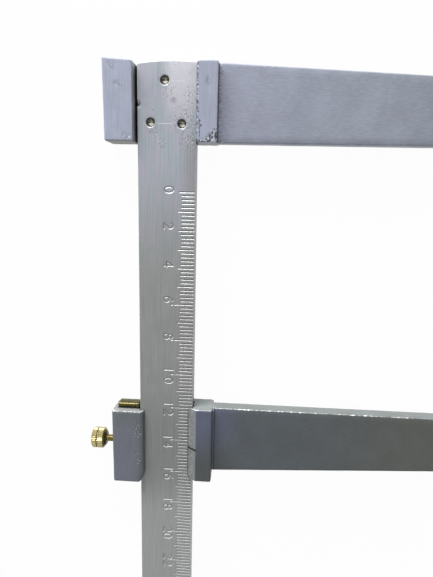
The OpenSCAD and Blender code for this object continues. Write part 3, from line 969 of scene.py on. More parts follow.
def flakes(tree, where, tone, mask, cell, light, dark=0.95, move=(3, 1, 2)):
    """Chipped paint inside a mask: dark pits where a noise is high, lifted pale flakes where it is low."""
    chip = noise(tree, where, (cell, cell, cell), detail=2, roughness=0.6, move=move)
    tint = noise(tree, where, (2 * cell, 2 * cell, 2 * cell), detail=2, move=(7, 5, 3))
    pit = mix(tree, remap(tree, tint, 0.53, 0.63), DARK_PIT, GREEN_PIT)
    tone = lay(tree, tone, both(tree, mask, remap(tree, chip, 0.5, 0.54)), pit, dark)
    return lay(tree, tone, both(tree, mask, remap(tree, chip, 0.44, 0.4)), PALE_FLAKE, light)


def casting_paint(name, colour, roughness, tone_of, filed_tone_with_painted_light, bare_tone, details):
    """Silvery paint over sand-cast metal: it drifts in tone, wears off at the edges and is chipped.

    Tone_of and filed_tone_with_painted_light give the base tones of painted and of filed faces, and details
    lays marks on top. The highest wear values are polished nearly white, partly as painted highlights, and
    the lowest are dark, partly as painted shade.
    """
    material, tree, shader, where = new_finish(name, colour, 0.1, roughness)
    cloud = noise(tree, where, (12, 16, 12), detail=3)
    down = noise(tree, where, (0.5, 16, 0.5), detail=4, roughness=0.6)
    outward = noise(tree, where, (3.5, 0.7, 0.7), detail=4, roughness=0.65)
    strokes = mix(tree, slope(tree, where, ACROSS, 26, 28), down, outward)
    grain = noise(tree, where, (0.5, 0.5, 0.5), detail=3, roughness=0.65)
    drift = both(tree, remap(tree, cloud, 0.3, 0.7, 0.94, 1.06), remap(tree, strokes, 0.35, 0.7, 0.93, 1.08),
                 remap(tree, grain, 0.28, 0.5, 0.86, 1.01))
    tone = mix(tree, mesh_value(tree, "filed"), tone_of(tree, where), filed_tone_with_painted_light(tree, where))
    tone = shaded(tree, tone, drift)
    wear = mesh_value(tree, "wear")
    patchy = noise(tree, where, (1.6, 2.2, 1.6), detail=5, roughness=0.65)
    ragged = sums(tree, "ADD", wear, remap(tree, patchy, 0.25, 0.75, -0.3, 0.25))
    bare = remap(tree, ragged, BARE_FROM, BARE_FROM + 0.25)
    tone = lay(tree, tone, bare, bare_tone)
    # Polish and painted highlight: the highest values turn nearly white, as on the sliding jaw's edges that
    # face the lamp.
    polish_and_highlight = remap(tree, ragged, POLISH_AND_HIGHLIGHT_FROM, POLISH_AND_HIGHLIGHT_FROM + 0.2)
    tone = lay(tree, tone, polish_and_highlight, POLISH_AND_HIGHLIGHT)
    tone = details(tree, where, tone)
    # Dark where the value is low: grime, the black of the index groove, and painted shade in the slot and
    # along the lips' edges.
    tone = lay(tree, tone, remap(tree, wear, -1.2, -0.2, 0.95, 0.0), DIRT_AND_PAINTED_SHADE)
    metal = sums(tree, "ADD", remap(tree, bare, 0, 1, 0.1, 0.45), both(tree, polish_and_highlight, 0.4))
    wire(tree, shader, Base_Color=tone, Metallic=metal,
         Roughness=remap(tree, grain, 0.3, 0.7, roughness - 0.07, roughness + 0.08))
    bump(tree, shader, [(grain, 0.03), (strokes, 0.02), (cloud, 0.12)])
    return material


def file_faces(thing, side):
    """Writes the filed value: 1 where the surface faces along y to the given side, as measuring faces do."""
    mesh = thing.data
    normal = np.empty(len(mesh.vertices) * 3, np.float32)
    mesh.vertex_normals.foreach_get("vector", normal)
    facing = np.clip((side * normal.reshape(-1, 3)[:, 1] - 0.75) / 0.2, 0, 1)
    filed = mesh.attributes.new("filed", "FLOAT", "POINT")
    filed.data.foreach_set("value", facing.astype(np.float32))
    print(thing.name, "filed points:", int((facing > 0.5).sum()))


print("bare metal shows from wear", BARE_FROM, "and shines from", POLISH_AND_HIGHLIGHT_FROM)

# %% [markdown]
# A casting that wraps the beam is a C-shaped outline in the XZ plane, carried along Y. It could be
# cut from a block with Booleans, but then its edges would be razor sharp. Here the outline has its own
# corner radii, both ends are rolled in by a quarter circle, and the end faces are filled. Only round
# holes and one fine groove are cut, where a sharp rim is right. A casting is cut while it is a single
# shell, and its arm, which overlaps it, is joined afterwards: an exact Boolean on shells that overlap
# can turn one of them inside out.

# %% Wrapping castings
END_RADIUS = 0.9
FOOT_RADIUS = 0.45
END_REACH = 0.7
CASTING_STEP = 2.0
END_NET = 1.1
END_MARGIN = 0.45
EDGE_WEAR = np.array([0, 0.9, 1, 0.9, 0.2])
CUT_DARK = -1.2
WEDGE_RISE = 0.4


def slot_grime_and_shade(points):
    """1 deep in the slot round the beam, which is painted dark there as shade and grime, and 0 on the outer
    faces.
    """
    x, z = points[..., 0], points[..., 2]
    within = (x > BEAM_LOW[0] - 4) & (x < BEAM_HIGH[0] + 1.5)
    return within * np.clip((BEAM_HIGH[2] - 2.4 - z) / 1.6, 0, 1) * (z > 3)


def wrap_casting(corners, radii, worn, ends_wear_and_highlight, top_of, foot_of, shift):
    """A rounded XZ outline carried along Y between two ends, whose places may change with x.

    A point of ring k is outline - normal * r * (1 - sin a), and lies r * (1 - cos a) inside the end,
    where a runs from 0 to 90 degrees over the rolled edge. Shift then moves points sideways.
    """
    flat, normal, radius, corner_wear = rounded_outline(corners, radii, CASTING_STEP, worn)
    top_r, foot_r = np.minimum(radius, END_RADIUS), np.minimum(radius, FOOT_RADIUS)
    angle = np.radians(np.linspace(0, 90, ARC_STEPS + 1))[:, None]
    rolled, sunk = 1 - np.sin(angle), 1 - np.cos(angle)
    length = (top_of(flat[:, 0]) - foot_of(flat[:, 0])).max() - 2 * END_RADIUS
    share = (graded(length, CASTING_STEP) / length)[:, None]
    down = np.concatenate([0 * angle, share, 0 * angle + 1])
    top_in = np.concatenate([sunk * top_r, 0 * share + top_r, 0 * angle + top_r])
    foot_in = np.concatenate([0 * angle + foot_r, 0 * share + foot_r, (sunk * foot_r)[::-1]])
    inset = np.concatenate([rolled * top_r, 0 * share * top_r, (rolled * foot_r)[::-1]])
    xz = flat[None] - normal[None] * inset[..., None]
    top, foot = top_of(xz[..., 0]), foot_of(xz[..., 0])
    y = (top - top_in) * (1 - down) + (foot + foot_in) * down
    points = shift(np.stack([xz[..., 0], y, xz[..., 1]], -1))
    wear = corner_wear + ends_wear_and_highlight[0] * np.exp(-((top - y) / END_REACH) ** 2)
    wear += ends_wear_and_highlight[1] * np.exp(-((y - foot) / END_REACH) ** 2)
    rows, count = y.shape
    shell = Shell()
    # Painted shade, with grime: the slot's deep walls get a low value.
    shell.add(points, ring_faces(rows, count), wear - 2 * slot_grime_and_shade(points))
    for row, end_of, end_wear_and_highlight in ((0, top_of, ends_wear_and_highlight[0]), (rows - 1, foot_of, ends_wear_and_highlight[1])):
        ring = xz[row]
        inner = np.concatenate([ring, loose_points(ring, END_NET, END_MARGIN)])
        faces = fill(inner, ring_edges(count), ring)
        rim_gap = distance_to(inner, ring, np.roll(ring, -1, axis=0))
        edge = end_wear_and_highlight * np.exp(-(rim_gap / END_REACH) ** 2)
        cap = shift(np.stack([inner[:, 0], end_of(inner[:, 0]), inner[:, 1]], 1))
        shell.add(cap, faces[:, ::-1] if row == 0 else faces, edge)
    return shell


def add_arm(shell, corners, radii, low_z, high_z, edge, worn=(0.3, 0.3), far=4.0, net=4.0):
    """A plate between two heights: rings of its rounded outline, rolled in at both ends, and filled faces.

    A ring is the outline moved inwards by r * (1 - sin a), at r * (1 - cos a) from the face. The edge is
    worn by the first value where it faces +y, and by the second where it faces -y.
    """
    flat, normal, _, _ = rounded_outline(corners, radii, far)
    angle = np.radians(np.linspace(0, 90, ARC_STEPS + 1))
    inset, drop = edge * (1 - np.sin(angle)), edge * (1 - np.cos(angle))
    insets = np.concatenate([inset, [0.0], inset[::-1]])
    heights = np.concatenate([high_z - drop, [(low_z + high_z) / 2], low_z + drop[::-1]])
    rows = [lift(flat - normal * i, z) for i, z in zip(insets, heights)]
    row_wear = np.concatenate([EDGE_WEAR, [0.0], EDGE_WEAR[::-1]])
    side_wear = worn[0] * (0.5 + 0.5 * normal[:, 1]) + worn[1] * (0.5 - 0.5 * normal[:, 1])
    wear = np.outer(row_wear, side_wear)
    shell.add(np.concatenate(rows), ring_faces(len(rows), len(flat))[:, ::-1], wear)
    ring = flat - normal * edge
    inner = np.concatenate([ring, loose_points(ring, net, min(END_MARGIN, net / 2))])
    faces = fill(inner, ring_edges(len(ring)), ring)
    shell.add(lift(inner, high_z), faces, 0.0)
    shell.add(lift(inner, low_z), faces[:, ::-1], 0.0)


def cutter(name, points_mm, faces, wear=0.0):
    """A closed shell with outward faces and one wear value, used to cut a hole or a groove."""
    mesh = bpy.data.meshes.new(name)
    mesh.from_pydata((points_mm * MM).tolist(), [], faces)
    values = np.full(len(points_mm), wear)
    mesh.attributes.new("wear", "FLOAT", "POINT").data.foreach_set("value", values)
    work = bmesh.new()
    work.from_mesh(mesh)
    bmesh.ops.recalc_face_normals(work, faces=work.faces)
    work.to_mesh(mesh)
    work.free()
    thing = bpy.data.objects.new(name, mesh)
    bpy.context.collection.objects.link(thing)
    return thing


def wedge(name, start, end, half, depth):
    """A bar with a V-shaped section along a line: depth below it lies the keel, and beside it the walls.

    At the line the walls stand half apart to each side, and they go on straight to WEDGE_RISE above it.
    """
    start, end = np.array(start, float), np.array(end, float)
    run = (end - start) * (1, 1, 0)
    side = np.array([-run[1], run[0], 0]) / np.linalg.norm(run) * half * (depth + WEDGE_RISE) / depth
    keel, top = np.array([0, 0, -depth]), np.array([0, 0, WEDGE_RISE])
    section = [keel, top + side, top - side]
    points = np.array([place + corner for place in (start, end) for corner in section])
    faces = [(0, 1, 2), (5, 4, 3), (0, 3, 4, 1), (1, 4, 5, 2), (2, 5, 3, 0)]
    return cutter(name, points, faces, CUT_DARK)


def peg(name, centre, axis, profile):
    """A closed turned shape: radii at places along x or z from a centre, used to cut a hole."""
    along, radius = np.array(profile, float).T
    turn = np.arange(HOLE_POINTS) * 2 * np.pi / HOLE_POINTS
    local = np.stack([np.repeat(along, HOLE_POINTS), np.outer(radius, np.cos(turn)).ravel(),
                      np.outer(radius, np.sin(turn)).ravel()], 1)
    order = {"x": [0, 1, 2], "z": [1, 2, 0]}[axis]
    last = (len(along) - 1) * HOLE_POINTS
    faces = ring_faces(len(along), HOLE_POINTS).tolist()
    faces += [list(range(HOLE_POINTS)), list(range(last, last + HOLE_POINTS))[::-1]]
    return cutter(name, local[:, order] + centre, faces)


print("a hole is cut with", HOLE_POINTS, "sides")

# %% [markdown]
# The fixed jaw is the simpler casting: a plain cheek, a web behind the beam, a boss and a long arm.
# The arm is a tapering plate, thinner than the boss, so a step and a crease stand between them, and the paint
# darkens the crease as painted shade.

# %% Fixed jaw
WEB = BEAM_LOW[2]
CASTING_TOP = FIXED_HIGH[2]
FIXED_LEFT = FIXED_LOW[0] + 0.2
FIXED_SLOT = BEAM_LOW[0] - 1.8
SLOT_RIGHT = BEAM_HIGH[0] + 0.3
FIXED_BOSS = SLOT_RIGHT + 10.5
FIXED_SLANT = 1.5
FIXED_DRAFT = 0.5
FIXED_FOOT = FIXED_LOW[1]
ARM_Z = (4.0, 12.0)
ARM_TIP = FIXED_HIGH[0]
ARM_TIP_HEIGHT = 26.0
ARM_EDGE = 0.8
ARM_RADII = [0.8, 2.0, 10.0, 6.0, 0.8]
ARM_OVERLAP = 4
FIXED_TOP = FIXED_HIGH[1] - FIXED_SLANT
FIXED_GRAIN = (0.07, 9, 0.16, 2.4, 21)


def draft(points, outer_x, slot_x, top_y, foot_y, most):
    """Moves the cheek's outer side towards the beam, evenly from none at the top to most at the foot."""
    share = np.clip((slot_x - points[..., 0]) / (slot_x - outer_x), 0, 1)
    down = np.clip((top_y - points[..., 1]) / (top_y - foot_y), 0, 1)
    moved = points.copy()
    moved[..., 0] += most * share * down
    return moved


def arm_corners(root_x, face_y, root_height, side):
    """Arm outline: a straight measuring face on face_y, and a back that tapers from the root to the tip.

    It starts inside the casting, and side is +1 where the back lies towards +y and -1 where towards -y.
    """
    start_x = root_x - ARM_OVERLAP
    tip_y = face_y + side * ARM_TIP_HEIGHT
    root_y = face_y + side * root_height
    corners = [(start_x, face_y), (ARM_TIP, face_y), (ARM_TIP, tip_y), (root_x, root_y), (start_x, root_y)]
    return (corners, ARM_RADII) if side > 0 else (corners[::-1], ARM_RADII[::-1])


def fixed_top(x):
    """The head end is level, and rises evenly over the cheek to its outer corner."""
    return FIXED_TOP + FIXED_SLANT * np.clip((FIXED_SLOT - x) / (FIXED_SLOT - FIXED_LEFT), 0, 1)


def fixed_foot(x):
    """The foot is level: it is the measuring face."""
    return 0 * x + FIXED_FOOT


def fixed_draft(points):
    """The fixed cheek narrows towards its foot."""
    return draft(points, FIXED_LEFT, FIXED_SLOT, FIXED_TOP, FIXED_FOOT, FIXED_DRAFT)


def fixed_jaw():
    """The wrapping casting, roughened and cut for its three screws, with its arm joined."""
    corners = [(FIXED_LEFT, 0), (FIXED_BOSS, 0), (FIXED_BOSS, CASTING_TOP), (SLOT_RIGHT, CASTING_TOP),
               (SLOT_RIGHT, WEB), (FIXED_SLOT, WEB), (FIXED_SLOT, CASTING_TOP), (FIXED_LEFT, CASTING_TOP)]
    radii = [1.0, 1.0, 0.45, 0.5, 0.3, 0.3, 0.4, 1.1]
    worn = [0.3, 0.3, 0.3, 0.6, 0, 0, 0.4, 0.5]
    shell = wrap_casting(corners, radii, worn, (0.5, 0.6), fixed_top, fixed_foot, fixed_draft)
    thing = shell.build("fixed_jaw_casting")
    roughen(thing, *FIXED_GRAIN)
    profile = [(-1, 2.0), (0.3, SHANK_HOLE_RADIUS), (WEB + 1, SHANK_HOLE_RADIUS)]
    carve(thing, *[peg("cut_" + name, np.array([*SCREWS[name][:2], 0]), "z", profile) for name in JAW_SCREWS])
    corners, radii = arm_corners(FIXED_BOSS, FIXED_FOOT, FIXED_TOP - FIXED_FOOT, 1)
    shell = Shell()
    add_arm(shell, corners, radii, *ARM_Z, ARM_EDGE, worn=(0.4, 0.8))
    arm = shell.build("fixed_arm")
    roughen(arm, *FIXED_GRAIN)
    join(thing, arm)
    file_faces(thing, -1)
    return thing


FIXED_JAW = fixed_jaw()

# %% [markdown]
# The fixed jaw's paint is chipped at the boss's corner, cracked beside the beam, darkened in the crease by
# the arm as painted shade, and scuffed on the cheek. It could be one colour with random chips. But the
# real chips sit where the jaw was hit and rubbed, so each mark has its own place, and noise only frays its
# shape.

# %% Fixed jaw's paint
CHIP_SIDE = (0.6585, -0.7526, 0)
CRACK_SIDE = (1, 0.03, 0)
CRACK_SPOTS = [(16.9, -9.2, 0.4, 0.3), (17.6, -11.4, 0.4, 0.3), (15.7, 3.2, 0.3, 0.3),
               (15.7, -0.4, 0.45, 0.3), (16.1, -5.0, 0.3, 0.3), (15.6, 7.4, 0.3, 0.3), (15.6, 14.8, 0.3, 0.3)]
FIXED_SCUFFS = [(-27.0, 16.5, 0.8, 2.6), (-24.5, 7.5, 0.8, 2.6), (20.8, 9.4, 0.8, 2.6),
                (-20.5, -17.0, 0.8, 2.6)]
FIXED_TONES = [((0.365, 0.39, 0.495), 0, 0), ((0.315, 0.335, 0.42), 24, 30), ((0.305, 0.33, 0.40), 40, 90),
               ((0.225, 0.25, 0.295), 90, 185)]
SLOT_WALL_PAINTED_LIGHT = (0.5, 0.52, 0.55)
# Filed tones, paler than filed metal as painted light on the face turned from the lamp.
FILED_CHEEK_PAINTED_LIGHT = (0.51, 0.54, 0.63)
FILED_BOSS_PAINTED_LIGHT = (0.345, 0.375, 0.42)
FILED_ARM_PAINTED_LIGHT = (0.42, 0.45, 0.52)
CRACK = (0.03, 0.03, 0.04)
CREASE_PAINTED_SHADE = (0.03, 0.03, 0.035)
DENT = (0.78, 0.8, 0.85)
SILL = (0.17, 0.16, 0.12)


def fixed_tone(tree, where):
    """Pale blue-grey on the cheek and the boss, duller and greyer out along the arm, and a paler inner slot
    wall as painted light.
    """
    tone = steps(tree, where, ACROSS, FIXED_TONES)
    # Painted light: the cheek's inner wall beside the beam is made paler, as if lit, and the slot's grime and
    # shade darken its lower part.
    wall = both(tree, slope(tree, where, UPWARDS, CASTING_TOP - 0.1, CASTING_TOP - 0.5),
                band(tree, where, ACROSS, FIXED_SLOT, 0.4, 0.2))
    return lay(tree, tone, wall, SLOT_WALL_PAINTED_LIGHT)


def fixed_filed_and_painted_light(tree, where):
    """Filed metal on the measuring face, made paler as painted light on a face turned from the lamp: palest
    under the cheek, and darkest and greenest under the boss.
    """
    near = mix(tree, slope(tree, where, ACROSS, -14, 14), FILED_CHEEK_PAINTED_LIGHT, FILED_BOSS_PAINTED_LIGHT)
    return mix(tree, slope(tree, where, ACROSS, 26, 40), near, FILED_ARM_PAINTED_LIGHT)


def boss_chips(tree, where, tone):
    """Chips at the boss's lower corner and foot, a chipped seam beside the beam, and a crack with spots."""
    top_face = slope(tree, where, UPWARDS, 14.6, 15.4)
    inside_boss = sums(tree, "SUBTRACT", 1.0, slope(tree, where, ACROSS, 25.6, 26.4))
    corner = both(tree, slope(tree, where, CHIP_SIDE, 24.4, 27.0), top_face, inside_boss)
    foot = both(tree, slope(tree, where, ALONG, FIXED_FOOT + 2.4, FIXED_FOOT + 0.9),
                slope(tree, where, ACROSS, 15, 17), inside_boss, top_face)
    chipped = sums(tree, "MAXIMUM", corner, both(tree, foot, 0.8))
    tone = flakes(tree, where, tone, chipped, cell=0.95, light=0.6)
    seam = both(tree, band(tree, where, ACROSS, SLOT_RIGHT + 0.5, 0.1, 0.5), top_face)
    tone = flakes(tree, where, tone, seam, cell=1.1, dark=0.75, light=0.7, move=(1, 6, 2))
    frayed = noise(tree, where, (0.7, 1.1, 0.7), detail=3)
    crack = both(tree, band(tree, where, CRACK_SIDE, 16.5, 0.1, 0.25), top_face,
                 slope(tree, where, ALONG, -7.5, -9.5), remap(tree, frayed, 0.36, 0.5))
    crack = spots(tree, where, CASTING_TOP - 0.1, CRACK_SPOTS, crack)
    return lay(tree, tone, crack, CRACK, 0.85)


def fixed_details(tree, where, tone):
    """The boss's chips, painted shade in the crease, grit by the arm, scuffs, a dent, and a brown sill on the
    cheek.
    """
    tone = boss_chips(tree, where, tone)
    above_arm = slope(tree, where, UPWARDS, 11.5, 11.9)
    # Painted shade: a dark line in the crease where the arm leaves the boss.
    crease = both(tree, band(tree, where, ACROSS, FIXED_BOSS + 0.05, 0.1, 0.2),
                  slope(tree, where, UPWARDS, 15.6, 14.6), above_arm)
    tone = lay(tree, tone, crease, CREASE_PAINTED_SHADE, 0.85)
    grit = both(tree, band(tree, where, ACROSS, 27.0, 0.5, 0.6), above_arm)
    tone = flakes(tree, where, tone, grit, cell=1.1, dark=0.3, light=0.4, move=(5, 2, 8))
    scuffs = spots(tree, where, CASTING_TOP, FIXED_SCUFFS)
    tone = flakes(tree, where, tone, scuffs, cell=0.9, dark=0.3, light=0.25, move=(8, 3, 5))
    dent = spot(tree, where, (-18.4, -17.3, CASTING_TOP), 0.3, 0.4)
    tone = lay(tree, tone, dent, DENT, 0.85)
    sill = both(tree, slope(tree, where, ALONG, FIXED_FOOT + 0.8, FIXED_FOOT + 0.1),
                slope(tree, where, ACROSS, -16, -17))
    return lay(tree, tone, sill, SILL, 0.75)


FIXED_PAINT = casting_paint("fixed_jaw_paint", (0.36, 0.38, 0.48), 0.5, fixed_tone, fixed_filed_and_painted_light,
                            (0.55, 0.57, 0.64), fixed_details)
place_piece(FIXED_JAW, "fixed_jaw", FIXED_PAINT)

# %% [markdown]
# The sliding jaw also hooks over the front of the beam with two lips. The left lip is plain. The right
# one is filed to a bevel that runs down to a thin edge on the scale, and carries the index line. At
# the foot both lips slant back, and on the cheek's side the casting starts a little below the boss.
# The index line could be painted alone, but the real one is scratched in, so a wedge cuts a groove.

# %% Sliding jaw
RUN_GAP = 0.3
SLOT_LEFT = BEAM_LOW[0] - 2.8
SLIDER_BOSS = SLOT_RIGHT + 11.1
LIP_Z = BEAM_HIGH[2] + RUN_GAP
GIB_ROOF = GIB_HIGH[2] + 0.2
PLAIN_LIP_X = BEAM_LOW[0] + 2.3
READING_LIP_X = BEAM_HIGH[0] - 2.6
LIP_EDGE = 0.35
BEVEL_WIDTH = 5.0
CHEEK_DROP = 2.9
SLIDER_SKEW = 2.7
SLIDER_DRAFT = 0.25
LIP_FOOT = 5.0
LIP_SLANT = 2.0
READING_SLANT = 2.4
SLIDER_TOP = SLIDER_HIGH[1]
SLIDER_FOOT = SLIDER_TOP - 47.1
SLIDER_ARM_ROOT = 39.2
SHOULDER_WIDTH = 1.2
SHOULDER_RISE = 1.2
OPENING = 144.0
INDEX_START = np.array([READING_LIP_X - 0.1, FIXED_FOOT - OPENING - 24.2])
INDEX_END = np.array([READING_LIP_X + BEVEL_WIDTH, FIXED_FOOT - OPENING - 24.9])
INDEX_OVER = 0.4
INDEX_HALF = 0.45
INDEX_DEPTH = 0.28
CLAMP_Y = (CLAMP_LOW[1] + CLAMP_HIGH[1]) / 2
CLAMP_Z = (CLAMP_LOW[2] + CLAMP_HIGH[2]) / 2
CLAMP_BORE = [(-1, 3.2), (0.9, 2.15), (15, 2.15)]
SLIDER_GRAIN = (0.07, 9, 0.12, 2.2, 34)


def slider_top(x):
    """The cheek and web start below the boss, with a short steep step at the reading lip's edge."""
    step = np.clip((x - (READING_LIP_X - 0.45)) / 0.4, 0, 1)
    return SLIDER_TOP - CHEEK_DROP * (1 - step * step * (3 - 2 * step))


def slider_foot(x):
    """The foot is level under the cheek and under the boss, and rises between them, behind the beam."""
    share = np.clip((x - PLAIN_LIP_X) / (READING_LIP_X - PLAIN_LIP_X), 0, 1)
    return SLIDER_FOOT + SLIDER_SKEW * share


def slant_lips(points):
    """Draws both lips' thin edges back over the last few millimetres at the foot, then drafts the cheek.

    A point moves by slant * down * share, where down grows from 0 to 1 towards the foot and share from
    0 at the lip's root to 1 at its thin edge.
    """
    x, y, z = points[..., 0], points[..., 1], points[..., 2]
    on_lip = z > LIP_Z - 0.25
    down = np.clip((SLIDER_FOOT + LIP_FOOT - y) / LIP_FOOT, 0, 1)
    plain = np.clip((x - SLOT_LEFT) / (PLAIN_LIP_X - SLOT_LEFT), 0, 1) * (x < 0)
    root = np.where(z > LIP_Z + 0.2, READING_LIP_X + BEVEL_WIDTH, SLOT_RIGHT)
    reading = np.clip((root - x) / (root - READING_LIP_X), 0, 1) * (x > 0)
    moved = points.copy()
    moved[..., 0] += on_lip * down * (READING_SLANT * reading - LIP_SLANT * plain)
    return draft(moved, SLIDER_LOW[0], SLOT_LEFT, SLIDER_TOP - CHEEK_DROP, SLIDER_FOOT, SLIDER_DRAFT)


def index_wedge():
    """The wedge for the index line, laid on the bevel and a little past its thin edge.

    The bevel's height is z = foot + rise * (x - edge).
    """
    start = np.array([INDEX_START[0] - INDEX_OVER, INDEX_START[1]])
    rise = (CASTING_TOP - LIP_Z - LIP_EDGE) / BEVEL_WIDTH
    heights = LIP_Z + LIP_EDGE + rise * (np.array([start[0], INDEX_END[0]]) - READING_LIP_X)
    return wedge("cut_index", (*start, heights[0]), (*INDEX_END, heights[1]), INDEX_HALF, INDEX_DEPTH)


def sliding_jaw():
    """The wrapping casting, roughened and cut for the clamp screw and the index line, with its arm joined.

    The arm's shell also holds the low shoulder block between the boss and the arm.
    """
    left, hook = SLIDER_LOW[0], BEAM_LOW[0] - 0.2
    corners = [(left, 0), (SLIDER_BOSS, 0), (SLIDER_BOSS, CASTING_TOP),
               (READING_LIP_X + BEVEL_WIDTH, CASTING_TOP), (READING_LIP_X, LIP_Z + LIP_EDGE),
               (READING_LIP_X, LIP_Z), (SLOT_RIGHT, LIP_Z), (SLOT_RIGHT, WEB - RUN_GAP),
               (SLOT_LEFT, WEB - RUN_GAP), (SLOT_LEFT, GIB_ROOF), (hook, GIB_ROOF), (hook, LIP_Z),
               (PLAIN_LIP_X, LIP_Z), (PLAIN_LIP_X, CASTING_TOP), (left, CASTING_TOP)]
    radii = [1.0, 1.0, 1.1, 0.8, 0.08, 0.08, 0.2, 0.3, 0.3, 0.2, 0.2, 0.2, 0.3, 2.4, 1.2]
    # Painted shade: the reading lip's thin edge and the plain lip's inner corner are dark, for the gaps under
    # them. The top end's wear of 1.12 polishes the edges facing the lamp nearly white, partly as a painted
    # highlight.
    worn = [0, 0, 0.2, 0.3, -1, -1, 0, 0, 0, 0, 0, 0, -0.6, 0.2, 0.3]
    shell = wrap_casting(corners, radii, worn, (1.12, 0.4), slider_top, slider_foot, slant_lips)
    thing = shell.build("sliding_jaw_casting")
    roughen(thing, *SLIDER_GRAIN)
    bore = peg("cut_clamp", np.array([left, CLAMP_Y, CLAMP_Z]), "x", CLAMP_BORE)
    carve(thing, bore, index_wedge())
    corners, radii = arm_corners(SLIDER_BOSS, SLIDER_TOP, SLIDER_ARM_ROOT, -1)
    shell = Shell()
    # The arm's edges that face +y wear to 1.12, polished nearly white, partly as a painted highlight.
    add_arm(shell, corners, radii, *ARM_Z, ARM_EDGE, worn=(1.12, -0.6))
    x0, x1 = SLIDER_BOSS - 3, SLIDER_BOSS + SHOULDER_WIDTH
    y0, y1 = SLIDER_TOP - SLIDER_ARM_ROOT + 1, SLIDER_TOP - 1
    block = [(x0, y1), (x0, y0), (x1, y0), (x1, y1)]
    add_arm(shell, block, [0.4] * 4, ARM_Z[0] - SHOULDER_RISE, ARM_Z[1] + SHOULDER_RISE, 0.35)
    arm = shell.build("sliding_arm")
    roughen(arm, *SLIDER_GRAIN)
    join(thing, arm)
    file_faces(thing, 1)
    return thing


SLIDING_JAW = sliding_jaw()

# %% [markdown]
# The sliding jaw's paint is darker and bluer, and its bevel is bare grey metal. Painted shade darkens
# the cheek under the gib, with some grime, and the steps where the arm leaves the boss. The groove of the
# index line is filled with black: its colour is laid a little wider than the groove, since light from the
# walls would make a fine line grey.

# %% Sliding jaw's paint
SLIDER_SCUFFS = [(-16.5, -175.5, 0.6, 2.8), (-15.5, -180.0, 0.6, 2.8), (-15.5, -192.0, 0.6, 2.8),
                 (-15.8, -197.0, 0.6, 2.8)]
CHEEK_TONES = [((0.145, 0.155, 0.19), 0, 0), ((0.135, 0.153, 0.168), -182, -168)]
CHEEK_INNER = (0.125, 0.138, 0.15)
BOSS_BLUE = (0.098, 0.110, 0.168)
BOSS_DARK = (0.065, 0.075, 0.078)
ARM_NEAR = (0.078, 0.09, 0.10)
ARM_FAR = (0.088, 0.093, 0.085)
BEVEL_METAL = (0.225, 0.236, 0.242)
# Filed tones of the end faces, paler than filed metal as painted light.
END_CHEEK_PAINTED_LIGHT = (0.29, 0.3, 0.3)
END_BOSS_PAINTED_LIGHT = (0.25, 0.275, 0.28)
END_ARM_PAINTED_LIGHT = (0.20, 0.22, 0.22)
INDEX_BLACK = (0.002, 0.002, 0.002)
INK_HALF = 0.62


def slider_tone(tree, where):
    """Blue-grey on the cheek, darker blue down the boss, bare grey on the bevel, greenish along the arm."""
    boss = mix(tree, slope(tree, where, ALONG, -168, -200), BOSS_BLUE, BOSS_DARK)
    cheek = steps(tree, where, ALONG, CHEEK_TONES)
    cheek = lay(tree, cheek, slope(tree, where, ACROSS, -19, -15), CHEEK_INNER)
    near = mix(tree, slope(tree, where, ACROSS, -12, 12), cheek, boss)
    arm = mix(tree, slope(tree, where, ACROSS, 60, 150), ARM_NEAR, ARM_FAR)
    bevel_end = READING_LIP_X + BEVEL_WIDTH
    bevel = both(tree, slope(tree, where, ACROSS, READING_LIP_X - 1, READING_LIP_X),
                 slope(tree, where, UPWARDS, 13.0, 13.2),
                 slope(tree, where, ACROSS, bevel_end + 0.3, bevel_end - 0.5))
    near = lay(tree, near, bevel, BEVEL_METAL)
    return mix(tree, slope(tree, where, ACROSS, 26, 50), near, arm)


def slider_filed_and_painted_light(tree, where):
    """Filed metal on the measuring side, made paler as painted light where the lamp falls on it: palest on
    the cheek's end, darkest along the arm.
    """
    near = mix(tree, slope(tree, where, ACROSS, -14, 14), END_CHEEK_PAINTED_LIGHT, END_BOSS_PAINTED_LIGHT)
    return mix(tree, slope(tree, where, ACROSS, 24, 30), near, END_ARM_PAINTED_LIGHT)


def index_line(tree, where):
    """1 on the index line, and nowhere but on the bevel."""
    run = (INDEX_END - INDEX_START) / np.linalg.norm(INDEX_END - INDEX_START)
    side = (float(-run[1]), float(run[0]), 0)
    middle = float(INDEX_START @ np.array(side[:2]))
    on_bevel = both(tree, slope(tree, where, ACROSS, INDEX_START[0] - 0.2, INDEX_START[0]),
                    slope(tree, where, ACROSS, INDEX_END[0] + 0.3, INDEX_END[0]),
                    slope(tree, where, UPWARDS, 12.4, 12.6))
    return both(tree, band(tree, where, side, middle, INK_HALF, 0.1), on_bevel)


